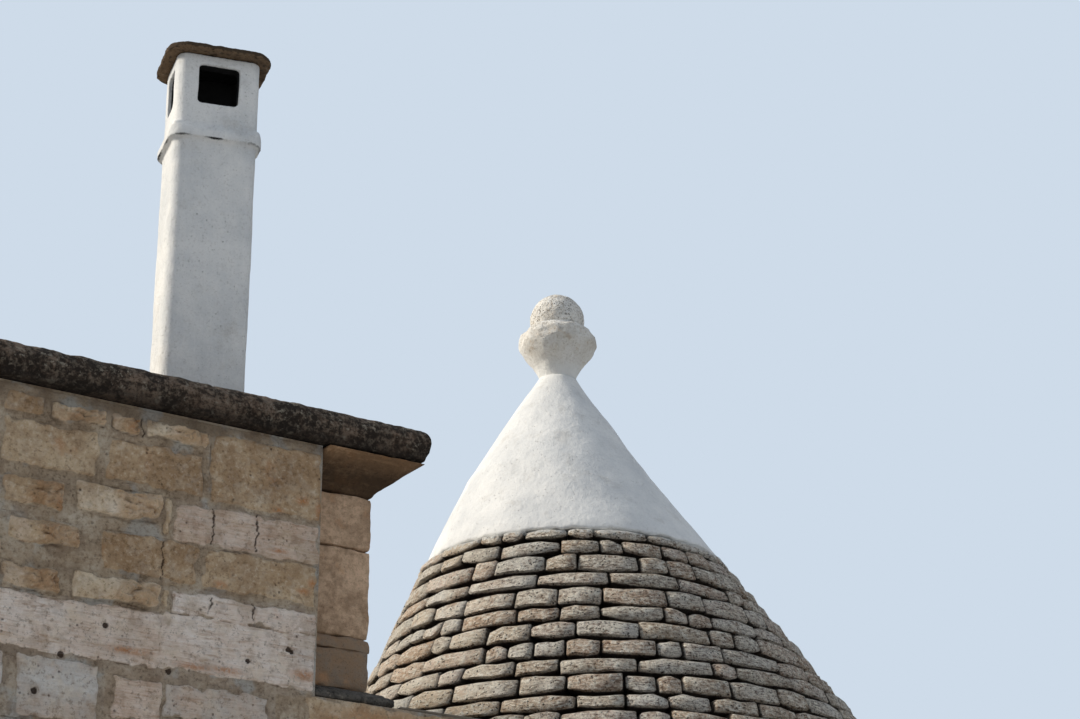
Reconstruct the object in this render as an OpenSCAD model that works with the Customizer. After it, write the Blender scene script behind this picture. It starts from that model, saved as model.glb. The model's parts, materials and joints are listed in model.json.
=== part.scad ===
// A small limestone trullo house: a square cell under a leaning corbelled cone with a
// limewashed tip and a ball pinnacle, and beside it a flat-roofed room with a parapet,
// a heavy lichen-dark coping and a plastered chimney.
// The facade looks towards -Y. Plan sizes are counted from the front right corner of the
// flat-roofed room, where both rooms meet, and on_plan() then moves all to the middle.

/* [Round room under the cone] */
// Inner width and depth of the square cell
room_w = 2300; // [2000:50:2600]
// Thickness of the cell's front, right and back walls
cell_wall_t = 750; // [600:10:900]
// Thickness of the cell's share of the wall between the two rooms
spine_t = 1190; // [900:10:1400]
// Height of the wall head of both rooms, with the roof slabs
wall_top_h = 2715; // [2500:5:2800]
// Thickness of the stone slabs that close the wall head round the cone
roof_slab_t = 120; // [80:5:160]

/* [Cone] */
// How far the foot of the cone stands outside the room's inner faces
cone_foot = 395; // [370:5:450]
// Mean height of one ring of roof stones
course_h = 94; // [90:1:96]
// How far the rings' heights differ from that, as a share of it
course_play = 0.12; // [0:0.01:0.2]
// Rings of roof stones that show below the limewash
open_courses = 15; // [13:1:15]
// Rings of stone under the limewash
cap_courses = 10; // [8:1:10]
// Height above the cone's foot at which its slope grows flatter
knee_h = 1820; // [1740:10:1880]
// Radius of the cone at that height
knee_r = 472; // [440:2:500]
// Height of the neck under the pinnacle, above the cone's foot
neck_h = 2385; // [2370:5:2480]
// Radius of the neck
neck_r = 95; // [80:1:120]
// How far the cone leans out of plumb between its foot and the change of slope
lean_run = 285; // [0:5:300]
// How the lean grows with height: 1 is an even lean, more leans later
lean_bend = 1.2; // [1:0.05:1.5]
// Direction of the lean, counted from +X towards +Y, in degrees
lean_turn = 147; // [0:1:359]
// Width of the outer skin of roof stones
skin_t = 170; // [140:5:190]
// Width of the corbelled inner skin
dome_t = 190; // [150:5:200]
// How far the edge of each roof stone is rounded off
stone_round = 28; // [10:1:40]
// Thickness of the limewashed plaster over the tip
plaster_t = 35; // [20:1:50]

/* [Pinnacle] */
// Radius of the stone ball
ball_r = 139; // [120:1:150]
// Height of the ball's middle above the neck
ball_up = 320; // [310:1:340]
// Largest radius of the flared cup
cup_r = 202; // [190:1:220]
// Height of the cup's rim above the neck
cup_rim_h = 238; // [225:1:245]
// Height of the band round the cup's rim
cup_band_h = 54; // [30:1:60]
// Radius of the cup's top edge round the ball
cup_lip_r = 150; // [146:1:160]
// Height of the cup's top edge above the neck
cup_h = 272; // [260:1:285]

/* [Doorways] */
// Clear width of the front doorway
door_w = 950; // [800:10:1100]
// Wall left between the crown of the front doorway's arch and the roof slabs
arch_cover = 180; // [100:10:400]
// Width of the dressed stones round the front doorway
surround_w = 160; // [120:5:200]
// How far the dressed stones stand out from the wall
surround_out = 20; // [10:1:40]
// Height of the threshold
threshold_h = 120; // [105:1:150]
// How far the threshold stands out from the wall
threshold_out = 30; // [10:1:60]
// Clear width of the passage between the rooms
passage_w = 800; // [700:10:900]
// Height at which the passage's arch springs
passage_spring_h = 1600; // [1500:10:1800]

/* [Flat-roofed room] */
// Outer width of the flat-roofed room
block_w = 3200; // [2900:50:3600]
// Thickness of its walls up to the vault
block_wall_t = 420; // [350:10:480]
// Thickness of the parapet walls
parapet_t = 270; // [240:5:300]
// Width of the recessed corner piers on the front and the back
pier_w = 270; // [240:5:300]
// How far the corner piers lie behind the wall face
pier_recess = 100; // [60:5:120]
// Height of the roof's walking surface above the wall head
roof_build_h = 685; // [600:5:750]
// Thickness of the roof paving
paving_t = 60; // [40:5:80]
// Rise of the barrel vault
vault_rise = 350; // [250:10:420]
// Height of the coping's top above the roof's surface
parapet_h = 400; // [360:5:500]
// Thickness of the coping's rounded nose
nose_t = 143; // [120:1:160]
// How far the nose stands out from the piers
nose_out = 168; // [150:1:190]
// Height of the moulding under the nose
cyma_h = 129; // [100:1:150]
// How far the moulding stands out at its top
cyma_out = 152; // [130:1:165]
// Overhang of the coping on the roof side
coping_in = 30; // [10:1:50]
// Thickness of the sloping slabs under the piers
weather_t = 75; // [55:1:90]
// Thickness of those slabs at their front edge
weather_edge_t = 30; // [20:1:50]
// How far the right slabs run on over the cell's wall
weather_run = 60; // [0:5:250]

/* [Chimney] */
// Distance of the chimney's axis from the cell, to the left
chimney_x = 550; // [540:5:700]
// Distance of the chimney's axis behind the facade
chimney_y = 525; // [520:5:700]
// Turn of the chimney against the facade, clockwise from above, in degrees
chimney_turn = 13.7; // [0:0.1:20]
// Width of the shaft
shaft_w = 338; // [320:1:360]
// Depth of the shaft
shaft_d = 280; // [260:1:300]
// Rounding of the shaft's corners
shaft_round = 45; // [20:1:60]
// Thickness of the masonry round the flue
flue_wall = 65; // [50:1:70]
// Length of the shaft, from the roof to the collar
shaft_h = 1590; // [1450:10:1700]
// Height of the collar
collar_t = 70; // [50:1:90]
// How far the collar stands out from the shaft
collar_out = 20; // [10:1:30]
// Height of the collar's upright foot, below its slope
collar_foot_t = 34; // [10:1:45]
// Height of the pierced head between collar and slab
head_h = 305; // [260:5:340]
// Width of the smoke opening in front
smoke_w = 158; // [120:1:170]
// Width of the smoke openings on the two sides
smoke_side_w = 110; // [90:1:120]
// Height of the smoke openings
smoke_h = 165; // [120:1:180]
// Height of the smoke openings' foot above the collar
smoke_foot = 95; // [60:1:110]
// Thickness of the covering slab
slab_t = 28; // [20:1:40]
// How far the covering slab stands out from the head
slab_out = 45; // [30:1:60]

/* [Windows and floor] */
// Width of the flat-roofed room's windows
block_window_w = 800; // [600:10:1000]
// Height of the flat-roofed room's windows
block_window_h = 1000; // [700:10:1100]
// Height of their openings' foot
block_window_foot = 1000; // [900:10:1100]
// Width of the cell's windows
cell_window_w = 520; // [400:10:700]
// Height of the cell's windows
cell_window_h = 620; // [500:10:800]
// Height of their openings' foot
cell_window_foot = 1200; // [1000:10:1300]
// Thickness of the window sills
sill_t = 60; // [40:1:80]
// How far the sills stand out from the wall
sill_out = 40; // [20:1:50]
// Distance of the window frames behind the wall face
frame_back = 140; // [80:5:200]
// Width of the frames' bars
frame_bar = 55; // [40:1:70]
// Depth of the frames
frame_d = 60; // [40:1:80]
// Thickness of the glass
glass_t = 6; // [4:1:10]
// Thickness of the stone floor
floor_t = 100; // [60:5:100]

/* [Hidden] */
// Gap left where one piece only rests against another
seat = 0.3;
// Reach of a cut past a face
past = 20;
// Roundness of true circles
$fn = 72;
// Steps of a drawn curve
curve_steps = 10;
// Roundness of the plaster's faceted skin
plaster_fn = 96;

cone_x = spine_t + room_w / 2;
cone_y = cell_wall_t + room_w / 2;
cell_w = spine_t + room_w + cell_wall_t;
depth = room_w + 2 * cell_wall_t;
wall_head_h = wall_top_h - roof_slab_t;
block_roof_h = wall_top_h + roof_build_h;
coping_top_h = block_roof_h + parapet_h;
collar_h = block_roof_h + shaft_h;
door_spring_h = wall_head_h - arch_cover - surround_w - door_w / 2;
cone_base_r = room_w / 2 + cone_foot;
all_courses = open_courses + cap_courses;
cap_foot_h = ring_foot(open_courses);

nose_foot_h = coping_top_h - nose_t;
cyma_foot_h = nose_foot_h - cyma_h;
x_low = -block_w - nose_out;
x_high = cell_w + sill_out;
mid_x = (x_low + x_high) / 2;
mid_y = depth / 2;

vault_span = block_w - 2 * block_wall_t;
vault_r = (pow(vault_span / 2, 2) + pow(vault_rise, 2)) / (2 * vault_rise);
flue_w = shaft_w - 2 * flue_wall;
flue_d = shaft_d - 2 * flue_wall;
head_foot_h = collar_h + collar_t;
block_mid_x = -block_w / 2;

// Radius of the cone's outside at a height above its foot
function cone_r(h) = h < knee_h
    ? cone_base_r + (knee_r - cone_base_r) * h / knee_h
    : knee_r + (neck_r - knee_r) * (h - knee_h) / (neck_h - knee_h);

// Middle of the cone at a height above its foot: it leans up to the change of slope
function lean(h) = lean_run * pow(min(h, knee_h) / knee_h, lean_bend);
function cone_mid(h) = [cone_x + lean(h) * cos(lean_turn), cone_y + lean(h) * sin(lean_turn)];

// Height of a ring: the open ones differ a little, and the last of them is a thin one
function ring_h(i) = i >= open_courses ? course_h
    : i == open_courses - 1 ? 0.7 * course_h
    : course_h * (1 + course_play * sin(155 * i));

// Height of a ring's foot above the foot of the cone
function ring_foot(i) = i == 0 ? 0 : ring_foot(i - 1) + ring_h(i - 1);

// Outer radius of a ring: open stones stand at the cone's face, the rest under the plaster
function ring_r(i) = i < open_courses
    ? cone_r(ring_foot(i) + ring_h(i) / 2)
    : cone_r(ring_foot(i + 1)) - plaster_t - 3 * seat;

// Ring at which the inner dome is closed by its capstone
function closing(i = 0) = ring_r(i) - skin_t - dome_t < dome_t * 0.6 ? i : closing(i + 1);
cap_ring = closing();

// Points of an arc in the plane, from one angle to another
function arc(mid, r, from, to) = [for (s = [0:curve_steps])
    mid + r * [cos(from + (to - from) * s / curve_steps),
               sin(from + (to - from) * s / curve_steps)]];

module on_plan() { translate([-mid_x, -mid_y, 0]) children(); }

// A plain block between two corners
module slab(low, high) { translate(low) cube(high - low); }

// A profile drawn in the YZ plane and run along X
module along_x(from, to) {
    translate([from, 0, 0]) rotate([90, 0, 90]) linear_extrude(to - from) children();
}

// A profile drawn in the XZ plane and run along Y
module along_y(from, to) {
    translate([0, to, 0]) rotate([90, 0, 0]) linear_extrude(to - from) children();
}

// Doorway outline with a round arch, from below the ground up
module arched(width, spring, low = -past) {
    translate([-width / 2, low]) square([width, spring - low]);
    translate([0, spring]) circle(width / 2);
}

module rounded_rect(w, d, r) {
    r_ok = min(r, w / 2 - 1, d / 2 - 1);
    for (x = [-1, 1], y = [-1, 1])
        translate([x * (w / 2 - r_ok), y * (d / 2 - r_ok)]) circle(r_ok);
    square([w - 2 * r_ok, d], center = true);
    square([w, d - 2 * r_ok], center = true);
}

// Cell walls

module front_doorway() {
    translate([cone_x, 0, 0]) along_y(-surround_out - past, cell_wall_t + past)
        arched(door_w + 2 * surround_w, door_spring_h);
}

module cell_front_wall_left() {
    color("burlywood") on_plan()
        slab([0, 0, 0], [cone_x - door_w / 2 - surround_w, cell_wall_t, door_spring_h]);
}

module cell_front_wall_right() {
    color("burlywood") on_plan()
        slab([cone_x + door_w / 2 + surround_w, 0, 0], [cell_w, cell_wall_t, door_spring_h]);
}

module cell_front_wall_over() {
    color("tan") on_plan() difference() {
        slab([0, 0, door_spring_h], [cell_w, cell_wall_t, wall_head_h]);
        front_doorway();
    }
}

module cell_right_wall() {
    color("tan") on_plan() difference() {
        slab([cell_w - cell_wall_t, cell_wall_t, 0], [cell_w, depth - cell_wall_t, wall_head_h]);
        cell_window_right() window_hole(cell_window_w, cell_window_h, cell_wall_t);
    }
}

module cell_back_wall() {
    color("tan") on_plan() difference() {
        slab([0, depth - cell_wall_t, 0], [cell_w, depth, wall_head_h]);
        cell_window_back() window_hole(cell_window_w, cell_window_h, cell_wall_t);
    }
}

// The thick wall between the rooms, as far as it reaches between two heights
module spine(low_y, high_y, low_z, high_z) {
    slab([-block_wall_t, max(low_y, block_wall_t), low_z],
         [0, min(high_y, depth - block_wall_t), min(high_z, wall_top_h)]);
    slab([0, max(low_y, cell_wall_t), low_z],
         [spine_t, min(high_y, depth - cell_wall_t), min(high_z, wall_head_h)]);
}

module spine_wall_front() {
    color("peru") on_plan() spine(0, mid_y - passage_w / 2, 0, passage_spring_h);
}

module spine_wall_back() {
    color("peru") on_plan() spine(mid_y + passage_w / 2, depth, 0, passage_spring_h);
}

module spine_wall_over() {
    color("peru") on_plan() difference() {
        spine(0, depth, passage_spring_h, coping_top_h);
        translate([0, mid_y, 0]) along_x(-block_wall_t - past, spine_t + past)
            arched(passage_w + 2 * surround_w, passage_spring_h);
    }
}

module passage_arch() {
    color("bisque") on_plan() translate([0, mid_y, passage_spring_h])
        along_x(-block_wall_t, spine_t) arch_ring(passage_w);
}

// Cell roof

module cell_roof_slabs() {
    color("darkkhaki") on_plan() difference() {
        slab([0, 0, wall_head_h], [cell_w, depth, wall_top_h]);
        translate([cone_x, cone_y, wall_head_h - past])
            cylinder(h = roof_slab_t + 2 * past, r = room_w / 2);
    }
}

module at_ring(i) {
    translate(concat(cone_mid(ring_foot(i + 1)), wall_top_h + ring_foot(i))) children();
}

// Rings of one node reach this far into the next one, so that they make one solid
knit = 1;

// One ring of roof stones, with its outer edges rounded off
module stone_ring(i, over) {
    r = ring_r(i);
    hole = i <= cap_ring ? r - skin_t : 0;
    edge = i < open_courses ? stone_round : knit;
    h = ring_h(i) + over;
    at_ring(i) rotate_extrude()
        polygon([[hole, 0], [r - edge / 2, 0], [r, edge / 2], [r, h - edge], [r - edge, h], [hole, h]]);
}

module roof_rings(first, last) {
    on_plan() for (i = [first:last]) stone_ring(i, i < last ? knit : 0);
}

lower_last = floor(open_courses / 3);
middle_last = floor(2 * open_courses / 3);

module roof_courses_lower() { color("rosybrown") roof_rings(0, lower_last); }

module roof_courses_middle() { color("tan") roof_rings(lower_last + 1, middle_last); }

module roof_courses_upper() { color("rosybrown") roof_rings(middle_last + 1, open_courses - 1); }

module roof_core() { color("dimgray") roof_rings(open_courses, all_courses - 1); }

// Each ring of the inner skin corbels in over the one below it
module dome_rings(first, last) {
    on_plan() for (i = [first:last]) {
        under = i > first ? knit : 0;
        at_ring(i) translate([0, 0, -under]) difference() {
            cylinder(h = ring_h(i) + under, r = ring_r(i) - skin_t - seat);
            translate([0, 0, -past])
                cylinder(h = ring_h(i) + 2 * past, r = ring_r(i) - skin_t - seat - dome_t);
        }
    }
}

// The dome's top starts where the cone steps back under its plaster, and the two rings
// under it stand alone
dome_top_first = min(open_courses, cap_ring - 1);
dome_neck_ring = dome_top_first - 1;
dome_shoulder_ring = dome_top_first - 2;
dome_middle_first = floor(cap_ring / 3);
dome_upper_first = min(floor(2 * cap_ring / 3), dome_shoulder_ring - 1);

module dome_lower() { color("wheat") dome_rings(0, dome_middle_first - 1); }

module dome_middle() { color("tan") dome_rings(dome_middle_first, dome_upper_first - 1); }

module dome_upper() { color("wheat") dome_rings(dome_upper_first, dome_shoulder_ring - 1); }

module dome_shoulder() { color("tan") dome_rings(dome_shoulder_ring, dome_shoulder_ring); }

module dome_neck() { color("wheat") dome_rings(dome_neck_ring, dome_neck_ring); }

module dome_top() { color("tan") dome_rings(dome_top_first, cap_ring - 1); }

module dome_capstone() {
    color("gray") on_plan() at_ring(cap_ring)
        cylinder(h = ring_h(cap_ring), r = ring_r(cap_ring) - skin_t - seat);
}

module plaster_disc(h, inset) {
    translate(concat(cone_mid(h), wall_top_h + h))
        cylinder(h = 0.01, r = cone_r(h) - inset, $fn = plaster_fn);
}

module plaster_body(low, high, inset) {
    hull() { plaster_disc(low, inset); plaster_disc(knee_h, inset); }
    hull() { plaster_disc(knee_h, inset); plaster_disc(high, inset); }
}

module plaster_cap() {
    color("whitesmoke") on_plan() difference() {
        plaster_body(cap_foot_h, neck_h - 0.01, 0);
        plaster_body(cap_foot_h - 1, ring_foot(all_courses) + seat, plaster_t);
    }
}

// Pinnacle

module at_neck() {
    translate(concat(cone_mid(neck_h), wall_top_h + neck_h)) children();
}

module pinnacle_cup() {
    color("silver") on_plan() at_neck() difference() {
        rotate_extrude() polygon(concat(
            [[0, 0], [neck_r, 0], [neck_r + 4, cup_rim_h * 0.1]],
            [[cup_r * 0.64, cup_rim_h * 0.32], [cup_r * 0.86, cup_rim_h * 0.56],
             [cup_r, cup_rim_h - cup_band_h], [cup_r * 0.96, cup_rim_h - cup_band_h * 0.5],
             [cup_r * 0.95, cup_rim_h], [(cup_r + cup_lip_r) / 2, cup_rim_h + (cup_h - cup_rim_h) * 0.6],
             [cup_lip_r, cup_h], [0, cup_h]]));
        translate([0, 0, ball_up]) sphere(ball_r + seat);
    }
}

module pinnacle_ball() {
    color("gainsboro") on_plan() at_neck() translate([0, 0, ball_up]) sphere(ball_r);
}

// Front doorway

module door_jambs() {
    color("bisque") on_plan() for (side = [-1, 1])
        slab([cone_x + side * (door_w + surround_w) / 2 - surround_w / 2, -surround_out, 0],
             [cone_x + side * (door_w + surround_w) / 2 + surround_w / 2, cell_wall_t, door_spring_h]);
}

// Ring of arch stones over an opening, seen from the front, with its springing at 0
module arch_ring(width) {
    difference() {
        circle(width / 2 + surround_w);
        circle(width / 2);
        translate([-width, -2 * width]) square(2 * width);
    }
}

module door_arch() {
    color("bisque") on_plan() translate([cone_x, 0, door_spring_h])
        along_y(-surround_out, cell_wall_t) arch_ring(door_w);
}

module door_threshold() {
    color("gray") on_plan()
        slab([cone_x - door_w / 2, -threshold_out, 0],
             [cone_x + door_w / 2, cell_wall_t, threshold_h]);
}

// Flat-roofed room

module block_front_wall() {
    color("tan") on_plan() difference() {
        slab([-block_w, 0, 0], [0, block_wall_t, wall_top_h]);
        block_window_front() window_hole(block_window_w, block_window_h, block_wall_t);
    }
}

module block_back_wall() {
    color("tan") on_plan() difference() {
        slab([-block_w, depth - block_wall_t, 0], [0, depth, wall_top_h]);
        block_window_back() window_hole(block_window_w, block_window_h, block_wall_t);
    }
}

module block_left_wall() {
    color("burlywood") on_plan() difference() {
        slab([-block_w, block_wall_t, 0], [-block_w + block_wall_t, depth - block_wall_t, wall_top_h]);
        block_window_left() window_hole(block_window_w, block_window_h, block_wall_t);
    }
}

module parapet_front() {
    color("burlywood") on_plan()
        slab([-block_w + pier_w, 0, wall_top_h], [-pier_w, parapet_t, nose_foot_h]);
}

module parapet_back() {
    color("burlywood") on_plan()
        slab([-block_w + pier_w, depth - parapet_t, wall_top_h], [-pier_w, depth, nose_foot_h]);
}

module parapet_left() {
    color("tan") on_plan()
        slab([-block_w, parapet_t, wall_top_h], [-block_w + parapet_t, depth - parapet_t, cyma_foot_h]);
}

module parapet_right() {
    color("tan") on_plan()
        slab([-parapet_t, parapet_t, wall_top_h], [0, depth - parapet_t, cyma_foot_h]);
}

// What stands on the front corner of a side is repeated on the back
module front_and_back() {
    children();
    translate([0, depth, 0]) mirror([0, 1, 0]) children();
}

module corner_piers() {
    color("darkgoldenrod") on_plan() front_and_back() for (x = [-block_w, -pier_w])
        slab([x, pier_recess, wall_top_h + weather_t], [x + pier_w, parapet_t, cyma_foot_h]);
}

module weathering_profile() {
    polygon([[0, 0], [0, weather_edge_t], [pier_recess, weather_t], [parapet_t, weather_t], [parapet_t, 0]]);
}

module weathering_slabs() {
    color("slategray") on_plan() front_and_back() translate([0, 0, wall_top_h]) {
        along_x(-pier_w, weather_run) weathering_profile();
        along_x(-block_w, -block_w + pier_w) weathering_profile();
    }
}

// One edge of the room's top: the hollow moulding, then the rounded nose
edge_points = concat(
    [[0, cyma_foot_h], [-cyma_out * 0.04, cyma_foot_h + cyma_h * 0.15],
     [-cyma_out * 0.15, cyma_foot_h + cyma_h * 0.23],
     [-cyma_out * 0.5, cyma_foot_h + cyma_h * 0.55],
     [-cyma_out * 0.75, cyma_foot_h + cyma_h * 0.8],
     [-cyma_out, nose_foot_h]],
    arc([-nose_out + nose_t / 2, nose_foot_h + nose_t / 2], nose_t / 2, 225, 100),
    [[-nose_out + nose_t * 0.6, coping_top_h]]);

// Outline of the room's top across a width, with the same edge on both sides
module coping_outline(width) {
    last = len(edge_points) - 1;
    polygon(concat(edge_points,
        [for (i = [0:last]) [width - edge_points[last - i][0], edge_points[last - i][1]]]));
}

// Moulding and coping in one, as a mitred body over the whole room
module coping_body() {
    intersection() {
        along_x(-block_w - 2 * nose_out, 2 * nose_out)
            translate([pier_recess, 0]) coping_outline(depth - 2 * pier_recess);
        along_y(-2 * nose_out, depth + 2 * nose_out)
            translate([-block_w, 0]) coping_outline(block_w);
    }
}

module cornices() {
    color("sienna") on_plan() intersection() {
        coping_body();
        for (x = [-block_w - 2 * nose_out, -pier_w])
            slab([x, -2 * nose_out, cyma_foot_h],
                 [x == -pier_w ? 2 * nose_out : -block_w + pier_w, depth + 2 * nose_out, nose_foot_h]);
    }
}

coping_in_y = parapet_t + coping_in;

module coping_part(low, high) {
    on_plan() intersection() {
        coping_body();
        slab(concat(low, nose_foot_h), concat(high, coping_top_h));
    }
}

module coping_front() {
    color("saddlebrown") coping_part([-block_w - 2 * nose_out, -2 * nose_out], [2 * nose_out, coping_in_y]);
}

module coping_back() {
    color("saddlebrown")
        coping_part([-block_w - 2 * nose_out, depth - coping_in_y], [2 * nose_out, depth + 2 * nose_out]);
}

module coping_right() {
    color("saddlebrown") coping_part([-coping_in_y, coping_in_y], [2 * nose_out, depth - coping_in_y]);
}

module coping_left() {
    color("saddlebrown")
        coping_part([-block_w - 2 * nose_out, coping_in_y], [-block_w + coping_in_y, depth - coping_in_y]);
}

module block_vault() {
    color("lightgray") on_plan() difference() {
        slab([-block_w + parapet_t, parapet_t, wall_top_h],
             [-parapet_t, depth - parapet_t, block_roof_h - paving_t]);
        translate([block_mid_x, 0, wall_top_h + vault_rise - vault_r])
            along_y(block_wall_t, depth - block_wall_t) circle(vault_r, $fn = 144);
        at_chimney() translate([0, 0, wall_top_h - past]) linear_extrude(block_roof_h) flue();
    }
}

module roof_paving() {
    color("silver") on_plan() difference() {
        slab([-block_w + parapet_t, parapet_t, block_roof_h - paving_t],
             [-parapet_t, depth - parapet_t, block_roof_h]);
        at_chimney() translate([0, 0, wall_top_h]) linear_extrude(block_roof_h) flue();
    }
}

// Chimney

module at_chimney() {
    translate([-chimney_x, chimney_y, 0]) rotate([0, 0, -chimney_turn]) children();
}

module flue() { square([flue_w, flue_d], center = true); }

module chimney_shaft() {
    color("white") on_plan() at_chimney() translate([0, 0, block_roof_h])
        linear_extrude(collar_h - block_roof_h) difference() {
            rounded_rect(shaft_w, shaft_d, shaft_round);
            flue();
        }
}

// Side of the collar across a width: an upright foot, then a slope back to the head
module collar_profile(width) {
    half = width / 2;
    polygon([[-half - collar_out, 0], [half + collar_out, 0], [half + collar_out, collar_foot_t],
             [half, collar_t], [-half, collar_t], [-half - collar_out, collar_foot_t]]);
}

module chimney_collar() {
    color("snow") on_plan() at_chimney() translate([0, 0, collar_h]) intersection() {
        linear_extrude(collar_t) difference() {
            rounded_rect(shaft_w + 2 * collar_out, shaft_d + 2 * collar_out, shaft_round + collar_out);
            flue();
        }
        along_x(-shaft_w, shaft_w) collar_profile(shaft_d);
        along_y(-shaft_d, shaft_d) collar_profile(shaft_w);
    }
}

module chimney_head() {
    color("white") on_plan() at_chimney() difference() {
        translate([0, 0, head_foot_h]) linear_extrude(head_h) difference() {
            rounded_rect(shaft_w, shaft_d, shaft_round);
            flue();
        }
        translate([0, 0, head_foot_h + smoke_foot]) {
            slab([-smoke_w / 2, -shaft_d / 2 - past, 0], [smoke_w / 2, 0, smoke_h]);
            slab([-shaft_w / 2 - past, -smoke_side_w / 2, 0],
                 [shaft_w / 2 + past, smoke_side_w / 2, smoke_h]);
        }
    }
}

module chimney_slab() {
    color("sienna") on_plan() at_chimney() translate([0, 0, head_foot_h + head_h])
        linear_extrude(slab_t)
            rounded_rect(shaft_w + 2 * slab_out, shaft_d + 2 * slab_out, shaft_round + slab_out);
}

// Windows: each is drawn with its outer wall face at y = 0 and its foot at z = 0

module block_window_front() { translate([block_mid_x, 0, block_window_foot]) children(); }

module block_window_back() {
    translate([block_mid_x, depth, block_window_foot]) rotate([0, 0, 180]) children();
}

module block_window_left() {
    translate([-block_w, mid_y, block_window_foot]) rotate([0, 0, -90]) children();
}

module cell_window_right() {
    translate([cell_w, mid_y, cell_window_foot]) rotate([0, 0, 90]) children();
}

module cell_window_back() {
    translate([cone_x, depth, cell_window_foot]) rotate([0, 0, 180]) children();
}

module window_hole(w, h, t) {
    translate([-w / 2, -past, 0]) cube([w, t + 2 * past, h]);
}

module window_sill(w) {
    slab([-w / 2, -sill_out, 0], [w / 2, frame_back + frame_d, sill_t]);
}

module window_light(w, h, lights, grow) {
    light_w = (w - frame_bar * (lights + 1)) / lights;
    for (i = [0:lights - 1])
        translate([-w / 2 + frame_bar + i * (light_w + frame_bar) - grow, 0, sill_t + frame_bar - grow])
            square_prism(light_w + 2 * grow, h - sill_t - 2 * frame_bar + 2 * grow);
}

module square_prism(w, h) { translate([0, frame_back - past, 0]) cube([w, frame_d + 2 * past, h]); }

module window_frame(w, h, lights) {
    difference() {
        slab([-w / 2, frame_back, sill_t], [w / 2, frame_back + frame_d, h]);
        window_light(w, h, lights, 0);
    }
}

module window_panes(w, h, lights) {
    intersection() {
        window_light(w, h, lights, -seat);
        slab([-w, frame_back + (frame_d - glass_t) / 2, 0],
             [w, frame_back + (frame_d + glass_t) / 2, 2 * h]);
    }
}

module window_sills() {
    color("lightgray") on_plan() {
        block_window_front() window_sill(block_window_w);
        block_window_back() window_sill(block_window_w);
        block_window_left() window_sill(block_window_w);
        cell_window_right() window_sill(cell_window_w);
        cell_window_back() window_sill(cell_window_w);
    }
}

module window_frames() {
    color("saddlebrown") on_plan() {
        block_window_front() window_frame(block_window_w, block_window_h, 2);
        block_window_back() window_frame(block_window_w, block_window_h, 2);
        block_window_left() window_frame(block_window_w, block_window_h, 2);
        cell_window_right() window_frame(cell_window_w, cell_window_h, 1);
        cell_window_back() window_frame(cell_window_w, cell_window_h, 1);
    }
}

module window_glass() {
    color("lightblue") on_plan() {
        block_window_front() window_panes(block_window_w, block_window_h, 2);
        block_window_back() window_panes(block_window_w, block_window_h, 2);
        block_window_left() window_panes(block_window_w, block_window_h, 2);
        cell_window_right() window_panes(cell_window_w, cell_window_h, 1);
        cell_window_back() window_panes(cell_window_w, cell_window_h, 1);
    }
}

// The floor runs on through the passage between the rooms
module stone_floor() {
    color("darkgray") on_plan() {
        slab([spine_t, cell_wall_t, 0], [spine_t + room_w, depth - cell_wall_t, floor_t]);
        slab([-block_wall_t, mid_y - passage_w / 2, 0], [spine_t, mid_y + passage_w / 2, floor_t]);
        slab([-block_w + block_wall_t, block_wall_t, 0], [-block_wall_t, depth - block_wall_t, floor_t]);
    }
}

cell_front_wall_left();
cell_front_wall_right();
cell_front_wall_over();
cell_right_wall();
cell_back_wall();
spine_wall_front();
spine_wall_back();
spine_wall_over();
passage_arch();
cell_roof_slabs();
dome_lower();
dome_middle();
dome_upper();
dome_shoulder();
dome_neck();
dome_top();
dome_capstone();
roof_courses_lower();
roof_courses_middle();
roof_courses_upper();
roof_core();
plaster_cap();
pinnacle_cup();
pinnacle_ball();
door_jambs();
door_arch();
door_threshold();
block_front_wall();
block_left_wall();
block_back_wall();
parapet_front();
parapet_left();
parapet_back();
parapet_right();
corner_piers();
weathering_slabs();
cornices();
coping_front();
coping_right();
coping_back();
coping_left();
block_vault();
roof_paving();
chimney_shaft();
chimney_collar();
chimney_head();
chimney_slab();
window_sills();
window_frames();
window_glass();
stone_floor();
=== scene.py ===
# %% [markdown]
# # A small limestone house with a stone cone for a roof
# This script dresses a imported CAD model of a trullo, a dry-stone house. The CAD part already
# has every true size, so nothing is measured again here. Each cell adds one piece or one
# finish, and the text before it says what that is on the real house and how it is made.
# First the frame is loaded. It puts every CAD solid in the scene at its place.

import json
import math
import random

import bmesh
import bpy
from mathutils import Matrix, Vector, noise


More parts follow.
